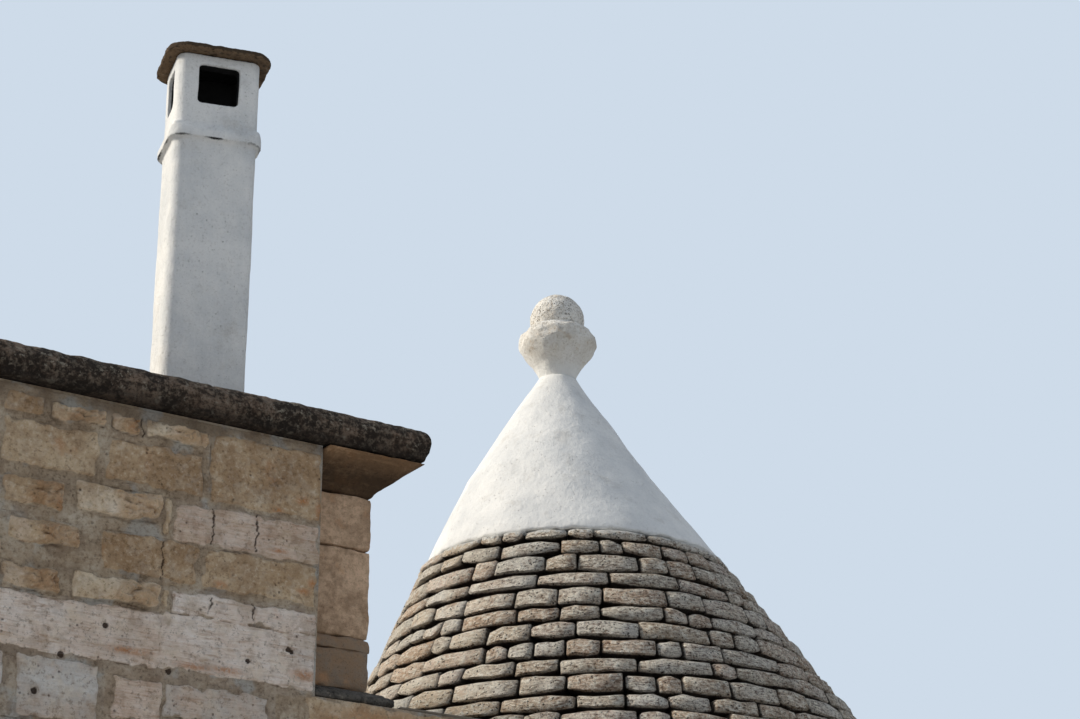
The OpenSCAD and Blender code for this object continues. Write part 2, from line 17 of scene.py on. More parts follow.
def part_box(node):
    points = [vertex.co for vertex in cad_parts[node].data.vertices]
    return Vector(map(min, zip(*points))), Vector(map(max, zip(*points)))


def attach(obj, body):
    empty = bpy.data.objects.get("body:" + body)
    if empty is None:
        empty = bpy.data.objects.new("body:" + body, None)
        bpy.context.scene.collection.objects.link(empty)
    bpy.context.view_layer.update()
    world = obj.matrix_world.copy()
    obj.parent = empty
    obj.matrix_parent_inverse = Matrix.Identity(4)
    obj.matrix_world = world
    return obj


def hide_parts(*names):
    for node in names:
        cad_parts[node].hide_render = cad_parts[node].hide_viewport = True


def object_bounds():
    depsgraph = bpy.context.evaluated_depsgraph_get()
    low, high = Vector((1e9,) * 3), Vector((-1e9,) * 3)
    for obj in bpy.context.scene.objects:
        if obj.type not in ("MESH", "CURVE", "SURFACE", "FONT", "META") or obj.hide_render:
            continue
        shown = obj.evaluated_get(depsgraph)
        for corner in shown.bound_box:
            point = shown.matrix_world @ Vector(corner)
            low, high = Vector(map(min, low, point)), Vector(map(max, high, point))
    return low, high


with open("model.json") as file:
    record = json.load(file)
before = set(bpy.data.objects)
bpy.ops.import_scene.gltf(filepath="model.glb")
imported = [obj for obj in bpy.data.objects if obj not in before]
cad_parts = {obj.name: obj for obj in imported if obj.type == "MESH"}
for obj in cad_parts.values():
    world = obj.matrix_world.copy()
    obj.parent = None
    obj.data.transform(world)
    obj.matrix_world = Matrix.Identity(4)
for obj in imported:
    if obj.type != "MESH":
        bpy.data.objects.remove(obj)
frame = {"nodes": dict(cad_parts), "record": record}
cad_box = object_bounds()
nodes = frame["nodes"]
# Noise vectors would start from the clock, so they get a seed and every run is the same
noise.seed_set(5)


def neat(values):
    """Lengths rounded to a millimetre, for printing."""
    return [round(v, 3) for v in values]


def waver(x, y, z):
    """Smooth noise at a place, between about -1 and 1."""
    return noise.noise(Vector((x, y, z)))


print("CAD box", neat(cad_box[0]), neat(cad_box[1]))

# %% [markdown]
# ## Where things are
# All sizes in the text below are counted from one corner of the house: the right front
# corner of the flat-roofed room, with x to the right, y into the house and z up. The CAD
# model is centred on the house instead, so one small function turns the first kind of
# place into the second. It reads the corner from the CAD wall itself.

# %% Places on the plan
room_low, room_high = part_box("block_front_wall")
slabs_low, slabs_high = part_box("cell_roof_slabs")
arch_low, arch_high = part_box("door_arch")
PLAN_CORNER = Vector((room_high.x, room_low.y, 0.0))
ROOM_W = room_high.x - room_low.x
CELL_W = slabs_high.x - slabs_low.x
DEPTH = slabs_high.y - slabs_low.y
SLAB_FOOT, WALL_TOP = slabs_low.z, slabs_high.z
ROOF_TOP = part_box("roof_paving")[1].z


def spot(x, y, z):
    """A place counted from the room's corner, as a point of the row frame."""
    return Vector((x, y, z)) + PLAN_CORNER


def put(name, data):
    """A new object with that mesh, lamp or camera, linked to the scene."""
    thing = bpy.data.objects.new(name, data)
    bpy.context.scene.collection.objects.link(thing)
    return thing


print("room, cell, depth and wall top", neat((ROOM_W, CELL_W, DEPTH, WALL_TOP)))

# %% [markdown]
# ## Camera
# The photograph was taken from low down, to the left of the house, with the camera tipped
# up by 22 degrees. A focal length of 85 mm gives the same perspective. The camera stands at
# a place on the plan, and its direction is two turns: first the tilt, then the heading.

# %% Camera
CAMERA_PLACE = (-4.358, -7.844, 0.44)
CAMERA_TILT, CAMERA_HEADING = 22.0, -32.7

camera = put("camera", bpy.data.cameras.new("camera"))
camera.location = spot(*CAMERA_PLACE)
camera.rotation_euler = [math.radians(a) for a in (90 + CAMERA_TILT, 0, CAMERA_HEADING)]
camera.data.lens, camera.data.sensor_width, camera.data.clip_end = 85, 36, 200
bpy.context.scene.camera = camera
print("camera at", neat(camera.location))

# %% [markdown]
# ## Writing a finish as plain sums
# A material in Blender is a tree of nodes. To keep it readable, a small class wraps one
# output socket, so that a sum such as `dust * 0.4 + 0.1` adds the Math nodes by itself.
# A second class holds one finish: its method `add` makes any node from its kind, the values
# of its sockets and its settings, and a few short methods name the usual patterns. Every
# pattern reads Object coordinates, so it stays with the stone in any view. Colours are
# written as a screen shows them, 0 to 255. Most finishes are one base colour under many
# thin coats, each with a mask that says where it lies and how thick.

# %% The two small classes
FINISHES = {}


def shade(red, green, blue):
    """A colour as a screen shows it, in the light values that Blender works in."""
    parts = [c / 255 for c in (red, green, blue)]
    return tuple(((c + 0.055) / 1.055) ** 2.4 if c > 0.04 else c / 12.92 for c in parts) + (1.0,)


def tint(colour):
    """Three screen values become a socket's colour, and a wire or a finished colour stays."""
    return shade(*colour) if isinstance(colour, tuple) and len(colour) == 3 else colour


class Wire:
    """One output of a node, with arithmetic that adds Math nodes."""

    def __init__(self, finish, socket):
        self.finish, self.socket = finish, socket

    def math(self, operation, first, second):
        return self.finish.wire("Math", 0, {0: first, 1: second}, operation=operation)

    def __add__(self, other):
        return self.math("ADD", self, other)

    def __sub__(self, other):
        return self.math("SUBTRACT", self, other)

    def __rsub__(self, other):
        return self.math("SUBTRACT", other, self)

    def __mul__(self, other):
        return self.math("MULTIPLY", self, other)

    __radd__, __rmul__ = __add__, __mul__

    def rise(self, low, high):
        """0 below low, 1 above high and a soft step between them; low above high falls."""
        values = {"Value": self, "From Min": low, "From Max": high}
        return self.finish.wire("MapRange", "Result", values, interpolation_type="SMOOTHSTEP")


class Finish:
    """A material or a world under construction."""

    def __init__(self, name, owner=None):
        self.name, self.owner = name, owner or bpy.data.materials.new(name)
        self.owner.use_nodes = True
        self.tree = self.owner.node_tree
        self.tree.nodes.clear()
        self.spot = self.wire("TexCoord", "Object", {})

    def add(self, kind, values, **settings):
        node = self.tree.nodes.new("ShaderNode" + kind)
        for key, value in settings.items():
            setattr(node, key, value)
        for key, value in values.items():
            if isinstance(value, Wire):
                self.tree.links.new(value.socket, node.inputs[key])
            else:
                node.inputs[key].default_value = value
        return node

    def wire(self, kind, output, values, **settings):
        """Adds a node and gives one of its outputs."""
        return Wire(self, self.add(kind, values, **settings).outputs[output])

    def noise(self, scale, detail=3.0, rough=0.55):
        """Soft noise; scale is one number, or three of them for a pattern stretched along an axis."""
        place = self.spot
        if isinstance(scale, tuple):
            place = self.wire("VectorMath", 0, {0: self.spot, 1: scale}, operation="MULTIPLY")
            scale = 1
        values = {"Vector": place, "Scale": scale, "Detail": detail, "Roughness": rough}
        return self.wire("TexNoise", "Fac", values)

    def cells(self, scale):
        return self.wire("TexVoronoi", "Distance", {"Vector": self.spot, "Scale": scale})

    def value(self, name):
        """A number that the mesh carries at every point."""
        return self.wire("Attribute", "Fac", {}, attribute_name=name)

    def axis(self, name):
        return self.wire("SeparateXYZ", name, {0: self.spot})

    def coats(self, base, *coats):
        """Lays colours over a base, one after the other: each coat is a mask and a colour."""
        for mask, colour in coats:
            base = self.wire("Mix", 2, {0: mask, 6: tint(base), 7: tint(colour)}, data_type="RGBA")
        return base

    def ramp(self, mask, *stops):
        """Colours along a scale; each stop is a place between 0 and 1 and a colour."""
        node = self.add("ValToRGB", {"Fac": mask})
        while len(node.color_ramp.elements) < len(stops):
            node.color_ramp.elements.new(0.5)
        for element, (at, colour) in zip(node.color_ramp.elements, stops):
            element.position, element.color = at, tint(colour)
        return Wire(self, node.outputs["Color"])

    def close(self, colour, roughness, height=None, deep=0.003, gloss=0.2, **constants):
        """Ends the finish: a surface shader, with a bump of that many metres if a height is given."""
        values = {"Base Color": tint(colour), "Roughness": roughness, "Specular IOR Level": gloss}
        values.update(constants)
        if height is not None:
            values["Normal"] = self.wire("Bump", 0, {"Height": height, "Strength": 1.0, "Distance": deep})
        self.add("OutputMaterial", {"Surface": self.wire("BsdfPrincipled", 0, values)})
        FINISHES[self.name] = self.owner
        print("finish", self.name, len(self.tree.nodes), "nodes")


# %% [markdown]
# ## Light
# In the photograph a soft sun stands to the left and a little behind the facade, high
# enough to clear the flat roof. So the left side of the cone is bright, and the front wall
# is lit by the open sky alone. A second sun lamp with a very wide disc stands for that sky:
# its light falls from above and in front, so each boss and joint is bright above and dark
# below. An even world fills what is left. It shows a pale plain colour to the camera and in
# reflections, and gives its light with another colour, so the background never changes how
# bright the house is.

# %% Lamps and world
def far_lamp(name, energy, colour, disc, turn, height):
    """A sun lamp: disc, turn from +X and height above the ground are in degrees."""
    lamp = put(name, bpy.data.lights.new(name, "SUN"))
    lamp.data.energy, lamp.data.color, lamp.data.angle = energy, colour, math.radians(disc)
    flat, up = math.radians(turn), math.radians(height)
    towards = Vector((math.cos(flat) * math.cos(up), math.sin(flat) * math.cos(up), math.sin(up)))
    lamp.rotation_euler = towards.to_track_quat("Z", "Y").to_euler()
    print(name, "from", neat(towards))


SKY_TINT = (0.84, 0.95, 1.10)
far_lamp("sun", 4.05, (1.0, 0.93, 0.82), 12, 149, 30)
far_lamp("open sky", 0.84, SKY_TINT, 100, -95, 68)

sky = Finish("even sky", bpy.data.worlds.new("even sky"))
bpy.context.scene.world = sky.owner
rays = sky.add("LightPath", {}).outputs
seen, mirrored, through = [Wire(sky, rays[f"Is {sort} Ray"]) for sort in ("Camera", "Glossy", "Transmission")]
shown = sky.wire("Math", 0, {0: seen + mirrored, 1: through}, operation="ADD", use_clamp=True)
light_sky = sky.wire("Background", 0, {"Color": SKY_TINT + (1.0,), "Strength": 0.15})
plain_sky = sky.wire("Background", 0, {"Color": shade(206, 219, 233)})
sky.add("OutputWorld", {"Surface": sky.wire("MixShader", 0, {0: shown, 1: light_sky, 2: plain_sky})})
bpy.context.scene.view_settings.view_transform = "Standard"
print("world", sky.name, "with", len(sky.tree.nodes), "nodes")

# %% [markdown]
# ## Finish of the roof stones
# The cone is laid with flat field stones. Each one has its own tone, from warm tan to
# grey, and all are pitted by rain, with short level grooves where the layers of the stone
# come out. The finish paints highlights where they bulge and paints shade, almost black,
# in the joints. The stones made below carry three values at every point: `tone` and `kind`,
# two numbers for the whole stone, and `edge`, which is high along its rim. The first two give
# its colour, the third its dirt and painted shade. The side of the cone away from the sun is
# painted darker and greyer, as shade, and one mask measures that by how far a point lies from
# the sunny side of the cone. The highest stones got splashes of limewash.

# %% Roof stone
LIME_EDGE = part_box("plaster_cap")[0].z
LEAN_TURN = math.radians(147)
CONE_SPOT = sum(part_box("roof_courses_lower"), Vector()) / 2


def roof_stone_finish():
    f = Finish("roof_stone")
    tone, kind, edge = f.value("tone"), f.value("kind"), f.value("edge")
    cloud = f.noise(9, 4)
    grain = f.noise((48, 48, 76), 5, 0.72)
    crumbs = f.noise(140, 4, 0.75)
    grooves = f.noise((20, 20, 125), 5, 0.72)
    lumps = f.noise((24, 24, 34), 5, 0.7)
    pits = f.cells(62).rise(0.36, 0.10) * f.noise(24, 3).rise(0.42, 0.58)
    sunny_x = (f.axis("X") - CONE_SPOT.x) * math.cos(LEAN_TURN)
    sunny = sunny_x + (f.axis("Y") - CONE_SPOT.y) * math.sin(LEAN_TURN)
    # Painted shade: this mask grows on the side of the cone away from the sun, where the coats below make the
    # stones darker and greyer.
    painted_shade_side = (sunny + (cloud - 0.5) * 0.5).rise(0.85, 0.30)
    # Dirt and painted shade: darker along the rim of each stone, and darkest on its sides in the joints.
    dirt_and_painted_shade = (edge + (grain - 0.5) * 1.2).rise(0.62, 1.15)
    splash = (f.axis("Z") + (f.noise(26, 6, 0.8) - 0.5) * 0.13).rise(LIME_EDGE - 0.028, LIME_EDGE - 0.022)
    base = f.coats(
        f.ramp(tone * 0.7 + 0.15 + (cloud - 0.5) * 1.1,
               (0.0, (218, 194, 164)), (0.4, (238, 220, 196)), (0.7, (247, 236, 219)),
               (1.0, (252, 247, 238))),
        (kind.rise(0.60, 0.80) * 0.40, (222, 184, 158)),
        (kind.rise(0.28, 0.14) * 0.40, (210, 207, 198)),
        (f.noise(15, 4, 0.7).rise(0.54, 0.66) * 0.35, (196, 191, 184)),
        (f.noise(7, 3).rise(0.54, 0.66) * 0.42, (198, 154, 114)),
        # Painted shade: greyer on the side away from the sun.
        (painted_shade_side * 0.24, (148, 140, 134)),
        # Pale coats on the raised parts of lumps, grain and grooves are painted highlights; the dark coats in
        # their hollows are texture, laid thicker on the shaded side as painted shade.
        (lumps.rise(0.52, 0.61) * 0.72, (255, 247, 231)),
        (lumps.rise(0.46, 0.35) * (painted_shade_side * 0.57 + 0.08), (144, 116, 95)),
        (grain.rise(0.52, 0.60) * 0.80, (255, 248, 234)),
        (grain.rise(0.47, 0.38) * (painted_shade_side * 0.57 + 0.16), (106, 83, 67)),
        (grooves.rise(0.46, 0.37) * (painted_shade_side * 0.34 + 0.28), (88, 66, 50)),
        (grooves.rise(0.54, 0.62) * 0.45, (255, 248, 232)),
        (crumbs.rise(0.45, 0.36) * (painted_shade_side * 0.42 + 0.18), (64, 49, 38)),
        (pits * 0.90, (40, 30, 23)),
        (dirt_and_painted_shade * 0.94, (44, 34, 26)),
        (splash * 0.95, (240, 237, 230)))
    height = grain * 1.1 + lumps * 1.2 + grooves * 0.8 + crumbs * 0.25 + cloud * 0.3 - pits * 0.7
    f.close(base, 0.93, height, 0.021)


roof_stone_finish()

# %% [markdown]
# ## Finish of the wall stones and of the mortar between them
# The walls are of squared blocks of honey-coloured limestone. Some were limewashed long ago
# and kept a pinkish white, so a value `kind` says how much of that a block has. Fine level
# scratches come from the mason's comb. Mortar was smeared over the rims of the blocks, and
# rust-orange stains run over some. The CAD walls themselves show only in the joints and on
# the inside, so they get the mortar's own finish: a rough lime plaster.

# %% Wall stone and mortar
def mortar_colour(f, cloud, grain):
    return f.coats(
        f.ramp(cloud + (grain - 0.5) * 0.5,
               (0.25, (108, 91, 72)), (0.5, (166, 148, 126)), (0.75, (196, 184, 166))),
        (f.noise(5.2, 4).rise(0.53, 0.62) * 0.6, (170, 174, 172)),
        (f.noise(13, 5, 0.7).rise(0.50, 0.38) * 0.55, (112, 92, 74)),
        (grain.rise(0.47, 0.37) * 0.35, (88, 73, 59)))


def mortar_finish():
    f = Finish("lime_mortar")
    cloud, grain = f.noise(4, 5, 0.6), f.noise(70, 6, 0.75)
    f.close(mortar_colour(f, cloud, grain), 0.96, grain * 0.7 + cloud * 0.6, 0.006)


def wall_stone_finish():
    f = Finish("wall_limestone")
    tone, kind, edge = f.value("tone"), f.value("kind"), f.value("edge")
    cloud = f.noise(6, 5, 0.65)
    patch = f.noise(17, 4, 0.65)
    mottle = f.noise(30, 4, 0.6)
    grain = f.noise(64, 5, 0.72)
    comb = f.noise((13, 13, 150), 4, 0.65)
    streaks = f.noise((9, 9, 62), 5, 0.7)
    pits = f.cells(48).rise(0.28, 0.05) * f.noise(13, 2).rise(0.50, 0.66)
    own = tone * 0.7 + 0.15
    honey = f.ramp(own + (cloud - 0.5) * 1.3 + (grain - 0.5) * 0.6,
                   (0.0, (136, 106, 76)), (0.38, (176, 147, 114)), (0.7, (204, 181, 150)),
                   (1.0, (230, 213, 188)))
    rosy = f.coats(
        f.ramp(own + (cloud - 0.5) * 1.1 + (comb - 0.5) * 0.8,
               (0.0, (170, 139, 114)), (0.35, (206, 180, 159)), (0.65, (228, 210, 195)),
               (1.0, (244, 235, 227))),
        (streaks.rise(0.52, 0.66) * 0.55, (168, 130, 100)),
        (streaks.rise(0.46, 0.36) * 0.35, (226, 212, 200)))
    grey = f.ramp(cloud + (streaks - 0.5) * 0.5,
                  (0.3, (144, 139, 131)), (0.5, (178, 177, 172)), (0.7, (206, 208, 206)))
    worn = (kind + (f.noise(9, 4) - 0.5) * 0.9).rise(0.25, 0.75)
    rust = (f.value("rust") * 1.6 + f.noise(6.5, 4, 0.6).rise(0.60, 0.72) * 0.55) * grain.rise(0.34, 0.54)
    smear = (edge + (f.noise(26, 4, 0.7) - 0.5) * 0.9).rise(0.40, 0.80)
    base = f.coats(
        honey,
        (worn, rosy),
        ((kind + (cloud - 0.5) * 1.6).rise(1.15, 1.75) * 0.62, grey),
        (f.noise(11, 4, 0.6).rise(0.50, 0.66) * 0.32, (222, 204, 178)),
        (f.noise(8.5, 4, 0.6).rise(0.50, 0.36) * 0.30, (136, 109, 84)),
        (rust * 0.62, (178, 118, 70)),
        (patch.rise(0.52, 0.66) * 0.26, (172, 162, 150)),
        (patch.rise(0.48, 0.36) * 0.20, (154, 126, 98)),
        (mottle.rise(0.53, 0.68) * 0.24, (224, 208, 186)),
        (mottle.rise(0.46, 0.34) * 0.22, (130, 108, 86)),
        (grain.rise(0.56, 0.68) * 0.34, (226, 213, 194)),
        (grain.rise(0.46, 0.36) * 0.45, (104, 84, 64)),
        (pits * 0.6, (76, 58, 44)),
        (smear * 0.85, mortar_colour(f, cloud, grain)),
        # Painted shade carried by the relief's dark value: in its hollows, slits and creases and under the
        # bosses, and a darker band under the coping.
        ((f.value("dark") + (grain - 0.5) * 0.6).rise(0.20, 0.75) * 0.90, (46, 31, 22)))
    height = grain * 0.5 + mottle * 0.5 + patch * 0.5 + comb * worn * 0.30 - pits * 0.6
    f.close(base, 0.94, height, 0.012)


wall_stone_finish()
mortar_finish()

# %% [markdown]
# ## Limewash, plaster and the pinnacle
# The tip of the cone is coated with limewash, brushed on year after year. It is nearly
# white, with faint grey clouds, short brush strokes that run down the slope and tiny
# craters. The chimney is coated in the same way, but the coat is older and has more specks,
# and a value blackens it inside the head, where smoke comes out, with soot and painted
# shade, and paints shade in the crease below the collar. The cup and the ball are bare
# stone with a thin old wash on them, thickest low on the cup.

# %% Washed surfaces
CUP_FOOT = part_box("pinnacle_cup")[0].z


def limewash_finish(name, pale, grey, specks, wear):
    f = Finish(name)
    cloud = f.noise(3.4, 5, 0.62)
    strokes = f.noise((46, 46, 9), 4, 0.6)
    grain = f.noise(105, 5, 0.75)
    craters = f.cells(60).rise(0.20, 0.04) * f.noise(11, 2).rise(0.46, 0.62)
    base = f.coats(
        f.ramp(cloud * 0.85 + strokes * 0.15, (0.34, grey), (0.58, pale)),
        (f.noise(8, 5, 0.7).rise(0.54, 0.70) * 0.30, (176, 170, 160)),
        (grain.rise(0.55, 0.64) * specks, (150, 145, 136)),
        (grain.rise(0.46, 0.38) * specks * 0.5, (250, 249, 246)),
        (craters * specks, (112, 104, 94)),
        # Soot and painted shade inside the chimney head, and painted shade in the crease below the collar.
        ((f.value("soot_and_shade") + (grain - 0.5) * 0.5).rise(0.35, 0.75), (9, 8, 8)))
    height = strokes * 0.25 + cloud * 0.8 + f.noise(30, 3) * 0.4 + grain * 0.22 * wear - craters * 0.7
    f.close(base, 0.88, height, 0.008, gloss=0.3)


def pinnacle_finish():
    f = Finish("pinnacle_stone")
    cloud, grain = f.noise(9, 5, 0.65), f.noise(75, 6, 0.75)
    pits = f.cells(95).rise(0.36, 0.08) * f.noise(30, 3).rise(0.40, 0.56)
    high = f.axis("Z").rise(CUP_FOOT + 0.20, CUP_FOOT + 0.27)
    washed = (f.axis("Z") + (cloud - 0.5) * 0.12).rise(CUP_FOOT + 0.105, CUP_FOOT + 0.02)
    base = f.coats(
        f.ramp(cloud + (grain - 0.5) * 0.6,
               (0.25, (206, 197, 184)), (0.5, (232, 228, 220)), (0.75, (246, 244, 240))),
        (f.noise(22, 4, 0.7).rise(0.56, 0.68) * 0.5, (196, 176, 152)),
        (grain.rise(0.47, 0.38) * (high * 0.40 + 0.22), (150, 138, 122)),
        (pits * (high * 0.65 + 0.15), (88, 74, 60)),
        (washed, (240, 239, 235)))
    f.close(base, 0.93, grain * 0.7 + cloud * 0.8 - pits * (high * 0.8 + 0.2), 0.011, gloss=0.25)


limewash_finish("limewash", (234, 233, 230), (210, 211, 211), specks=0.20, wear=1.0)
limewash_finish("chimney_plaster", (232, 231, 228), (206, 208, 209), specks=0.28, wear=1.6)
pinnacle_finish()

# %% [markdown]
# ## Dark lichen on the coping, and the stones under it
# The coping is the same limestone as the walls, but black-brown lichen covers it, with
# lighter crusts in grey and ochre. The moulding below it keeps its brown stone, stained
# where water drips. One function gives both, and also the piers, the sloping slabs, the
# covering slab of the chimney and the dressed stones: `bare` is the stone's own colour and
# `dark` that of its coat. The coat starts at `spread`, where less means more bare stone, and
# `soft` says how blurred its edge is. The other numbers are amounts of pale crust, dark
# dots, level streaks and ochre, and `below` gives two heights: the stone is painted darker
# past the first, fading out at the second.

# %% Lichen-covered stone
def lichen_finish(name, bare, dark, spread, crust, rough=0.011, dots=0.5, streaks=0.0, ochre=0.15, soft=0.14,
                  below=None):
    f = Finish(name)
    cloud = f.noise(4.5, 5, 0.6)
    lumps = f.noise(22, 6, 0.72)
    mottle = f.noise(52, 5, 0.7)
    grain = f.noise(120, 4, 0.75)
    lines = f.noise((5, 5, 58), 5, 0.7)
    bare = shade(*bare)
    lighter = tuple(min(1.0, c * 1.5) for c in bare[:3]) + (1.0,)
    golden = tuple(c * share for c, share in zip(bare, (1.05, 0.78, 0.55, 1)))
    stone = f.coats(
        f.ramp(cloud * 0.5 + lumps * 0.35 + f.value("tone") * 0.15 + 0.075, (0.34, bare), (0.64, lighter)),
        (f.value("kind") * 0.85, (112, 106, 97)))
    rust = f.value("rust") * f.noise(26, 4).rise(0.36, 0.58)
    base = f.coats(
        dark,
        ((lumps * 0.5 + cloud * 0.5 + mottle * 0.3).rise(spread, spread + soft), stone),
        (lines.rise(0.50, 0.64) * streaks, dark),
        (lines.rise(0.47, 0.36) * streaks * 0.22, lighter),
        (mottle.rise(0.50, 0.60) * crust * 0.55, (126, 115, 101)),
        (f.noise(38, 4, 0.7).rise(0.57, 0.66) * crust * 0.8, (160, 150, 134)),
        (f.noise(7, 4, 0.65).rise(0.50, 0.66) * ochre, golden),
        (mottle.rise(0.47, 0.38) * dots * 0.7, dark),
        (grain.rise(0.45, 0.35) * dots, (30, 23, 17)),
        (rust * 0.7, (186, 112, 58)))
    # Painted darker past the first height of below; on the coping and the moulding this is painted shade on
    # their lower parts.
    if below:
        under = (f.axis("Z") + (mottle - 0.5) * 0.05).rise(below[1], below[0])
        base = f.coats(base, (under * 0.7, (30, 24, 19)))
    # Soot and painted shade inside the chimney head and under its slab.
    base = f.coats(base, (f.value("soot_and_shade"), (7, 6, 6)))
    f.close(base, 0.95, lumps * 0.7 + mottle * 0.4 + grain * 0.25 + cloud * 0.3, rough)


COPING_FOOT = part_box("coping_front")[0].z
COVER_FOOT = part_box("chimney_slab")[0].z
# On the coping and the moulding, below paints their lower parts darker as shade.
lichen_finish("coping_stone", (112, 95, 81), (44, 36, 29), 0.61, crust=0.95, rough=0.016,
              dots=0.75, streaks=0.55, below=(COPING_FOOT + 0.012, COPING_FOOT + 0.075))
lichen_finish("cornice_stone", (172, 139, 106), (124, 96, 70), 0.60, crust=0.05, rough=0.010,
              dots=0.3, streaks=0.90, ochre=0.3, soft=0.30, below=(COPING_FOOT - 0.075, COPING_FOOT - 0.010))
lichen_finish("pier_stone", (190, 161, 134), (152, 124, 98), 0.48, crust=0.14,
              dots=0.30, streaks=0.22, ochre=0.60, soft=0.36)
lichen_finish("weathering_stone", (80, 76, 71), (48, 45, 41), 0.58, crust=0.40, rough=0.012,
              dots=0.55, streaks=0.4)
lichen_finish("chimney_slab_stone", (108, 89, 69), (84, 68, 52), 0.50, crust=0.30, rough=0.010,
              dots=0.35, streaks=0.2, below=(COVER_FOOT + 0.010, COVER_FOOT + 0.002))
lichen_finish("dressed_stone", (184, 164, 138), (160, 138, 112), 0.52, crust=0.25, rough=0.009,
              dots=0.15, streaks=0.2)

# %% [markdown]
# ## Paving, wood and glass
# The flat roofs and the floor are paved with grey-brown slabs, the windows have frames of
# weathered oak with the grain along each bar, and the panes are plain glass.

# %% Paving, wood and glass
def paving_finish():
    f = Finish("paving_stone")
    cloud, grain = f.noise(3, 5, 0.6), f.noise(50, 6, 0.7)
    base = f.coats(
        f.ramp(cloud + f.value("tone") * 0.3 - 0.15 + (grain - 0.5) * 0.4,
               (0.25, (122, 110, 96)), (0.5, (150, 139, 124)), (0.75, (174, 165, 150))),
        (f.noise(14, 5, 0.7).rise(0.58, 0.72) * 0.5, (92, 88, 78)),
        (f.value("edge").rise(0.5, 1.0) * 0.6, (84, 72, 58)))
    f.close(base, 0.92, grain * 0.5 + cloud, 0.006, gloss=0.25)


def wood_finish():
    f = Finish("window_wood")
    fibres = f.noise((90, 90, 7), 5, 0.65)
    rings = f.noise((30, 30, 2.2), 2, 0.5)
    base = f.coats(
        f.ramp(fibres * 0.6 + rings * 0.4, (0.3, (72, 47, 29)), (0.5, (104, 73, 47)), (0.72, (136, 104, 72))),
        (f.noise(5, 4).rise(0.5, 0.75) * 0.4, (126, 118, 106)))
    f.close(base, 0.62, fibres * 0.8 + rings * 0.3, 0.0015, gloss=0.5)


def glass_finish():
    f = Finish("window_glass")
    film = f.noise(6, 4, 0.6).rise(0.4, 0.8)
    f.close((236, 243, 244), 0.02 + film * 0.07, gloss=0.5, **{"Transmission Weight": 1.0, "IOR": 1.5})


paving_finish()
wood_finish()
glass_finish()

# %% [markdown]
# ## The CAD solids that stay
# Walls, vault, dome, frames, glass and floor have the right shape already. They keep their
# CAD meshes and only get a finish. Every node looks up its slot in the record, and the
# masonry that shows between laid blocks and indoors gets the mortar.

# %% Finishes of the CAD nodes
slot_of = {row["node"]: row["material_slot"] for row in frame["record"]["subparts"]}
for name, node in nodes.items():
    masonry = slot_of[name] in ("wall_limestone", "inner_masonry")
    node.data.materials.clear()
    node.data.materials.append(FINISHES["lime_mortar" if masonry else slot_of[name]])
print("finished", len(nodes), "CAD nodes")

# %% [markdown]
# ## Laying stones
# Hundreds of stones are needed, and a mason's stone is never quite square. One block is
# made with operators: a cube that is cut by planes into a few strips each way. It is then
# copied inside the same mesh with the duplicate operator, and each copy is softened: its
# rim is drawn in, its face bulges a little and noise makes it uneven. At the end the
# pattern block is taken out again. The cuts beside the rim make the rounding.

# %% Stones from one pattern block
# The sides of a stone lie in its joints, so its finish marks them more than the rim of its face; on the roof
# stones that mark is dirt and painted shade
SIDE_EDGE = 1.7


def softened(point, cuts, size, rim):
    """Where a point of the unit cube goes on a block with a rounded rim, and its share of rim."""
    at_end = [abs(abs(c) - 0.5) < 1e-4 for c in point]
    drawn_in = (0.0, 0.0, 0.30, 0.45)[sum(at_end)] * rim
    moved = []
    for c, count, length, end in zip(point, cuts, size, at_end):
        if end:
            moved.append(math.copysign(1.0, c) * (length / 2 - drawn_in))
        elif count == 2:
            moved.append(0.0)
        else:
            moved.append(c / (0.5 - 1 / count) * max(length / 2 - 1.5 * rim, length * 0.2))
    return Vector(moved), 1.0 if at_end[0] or at_end[2] else 0.0


def settle(bm, name, slot, replaced=(), sharp=None):
    """Turns a mesh into a named piece that rides with the house."""
    mesh = bpy.data.meshes.new(name)
    bm.to_mesh(mesh)
    bm.free()
    mesh.shade_smooth()
    if sharp:
        mesh.set_sharp_from_angle(angle=math.radians(sharp))
    mesh.materials.append(FINISHES[slot])
    piece = put(name, mesh)
    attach(piece, "root")
    if replaced:
        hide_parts(*replaced)
    print(name, sum(len(p.vertices) - 2 for p in mesh.polygons), "triangles")


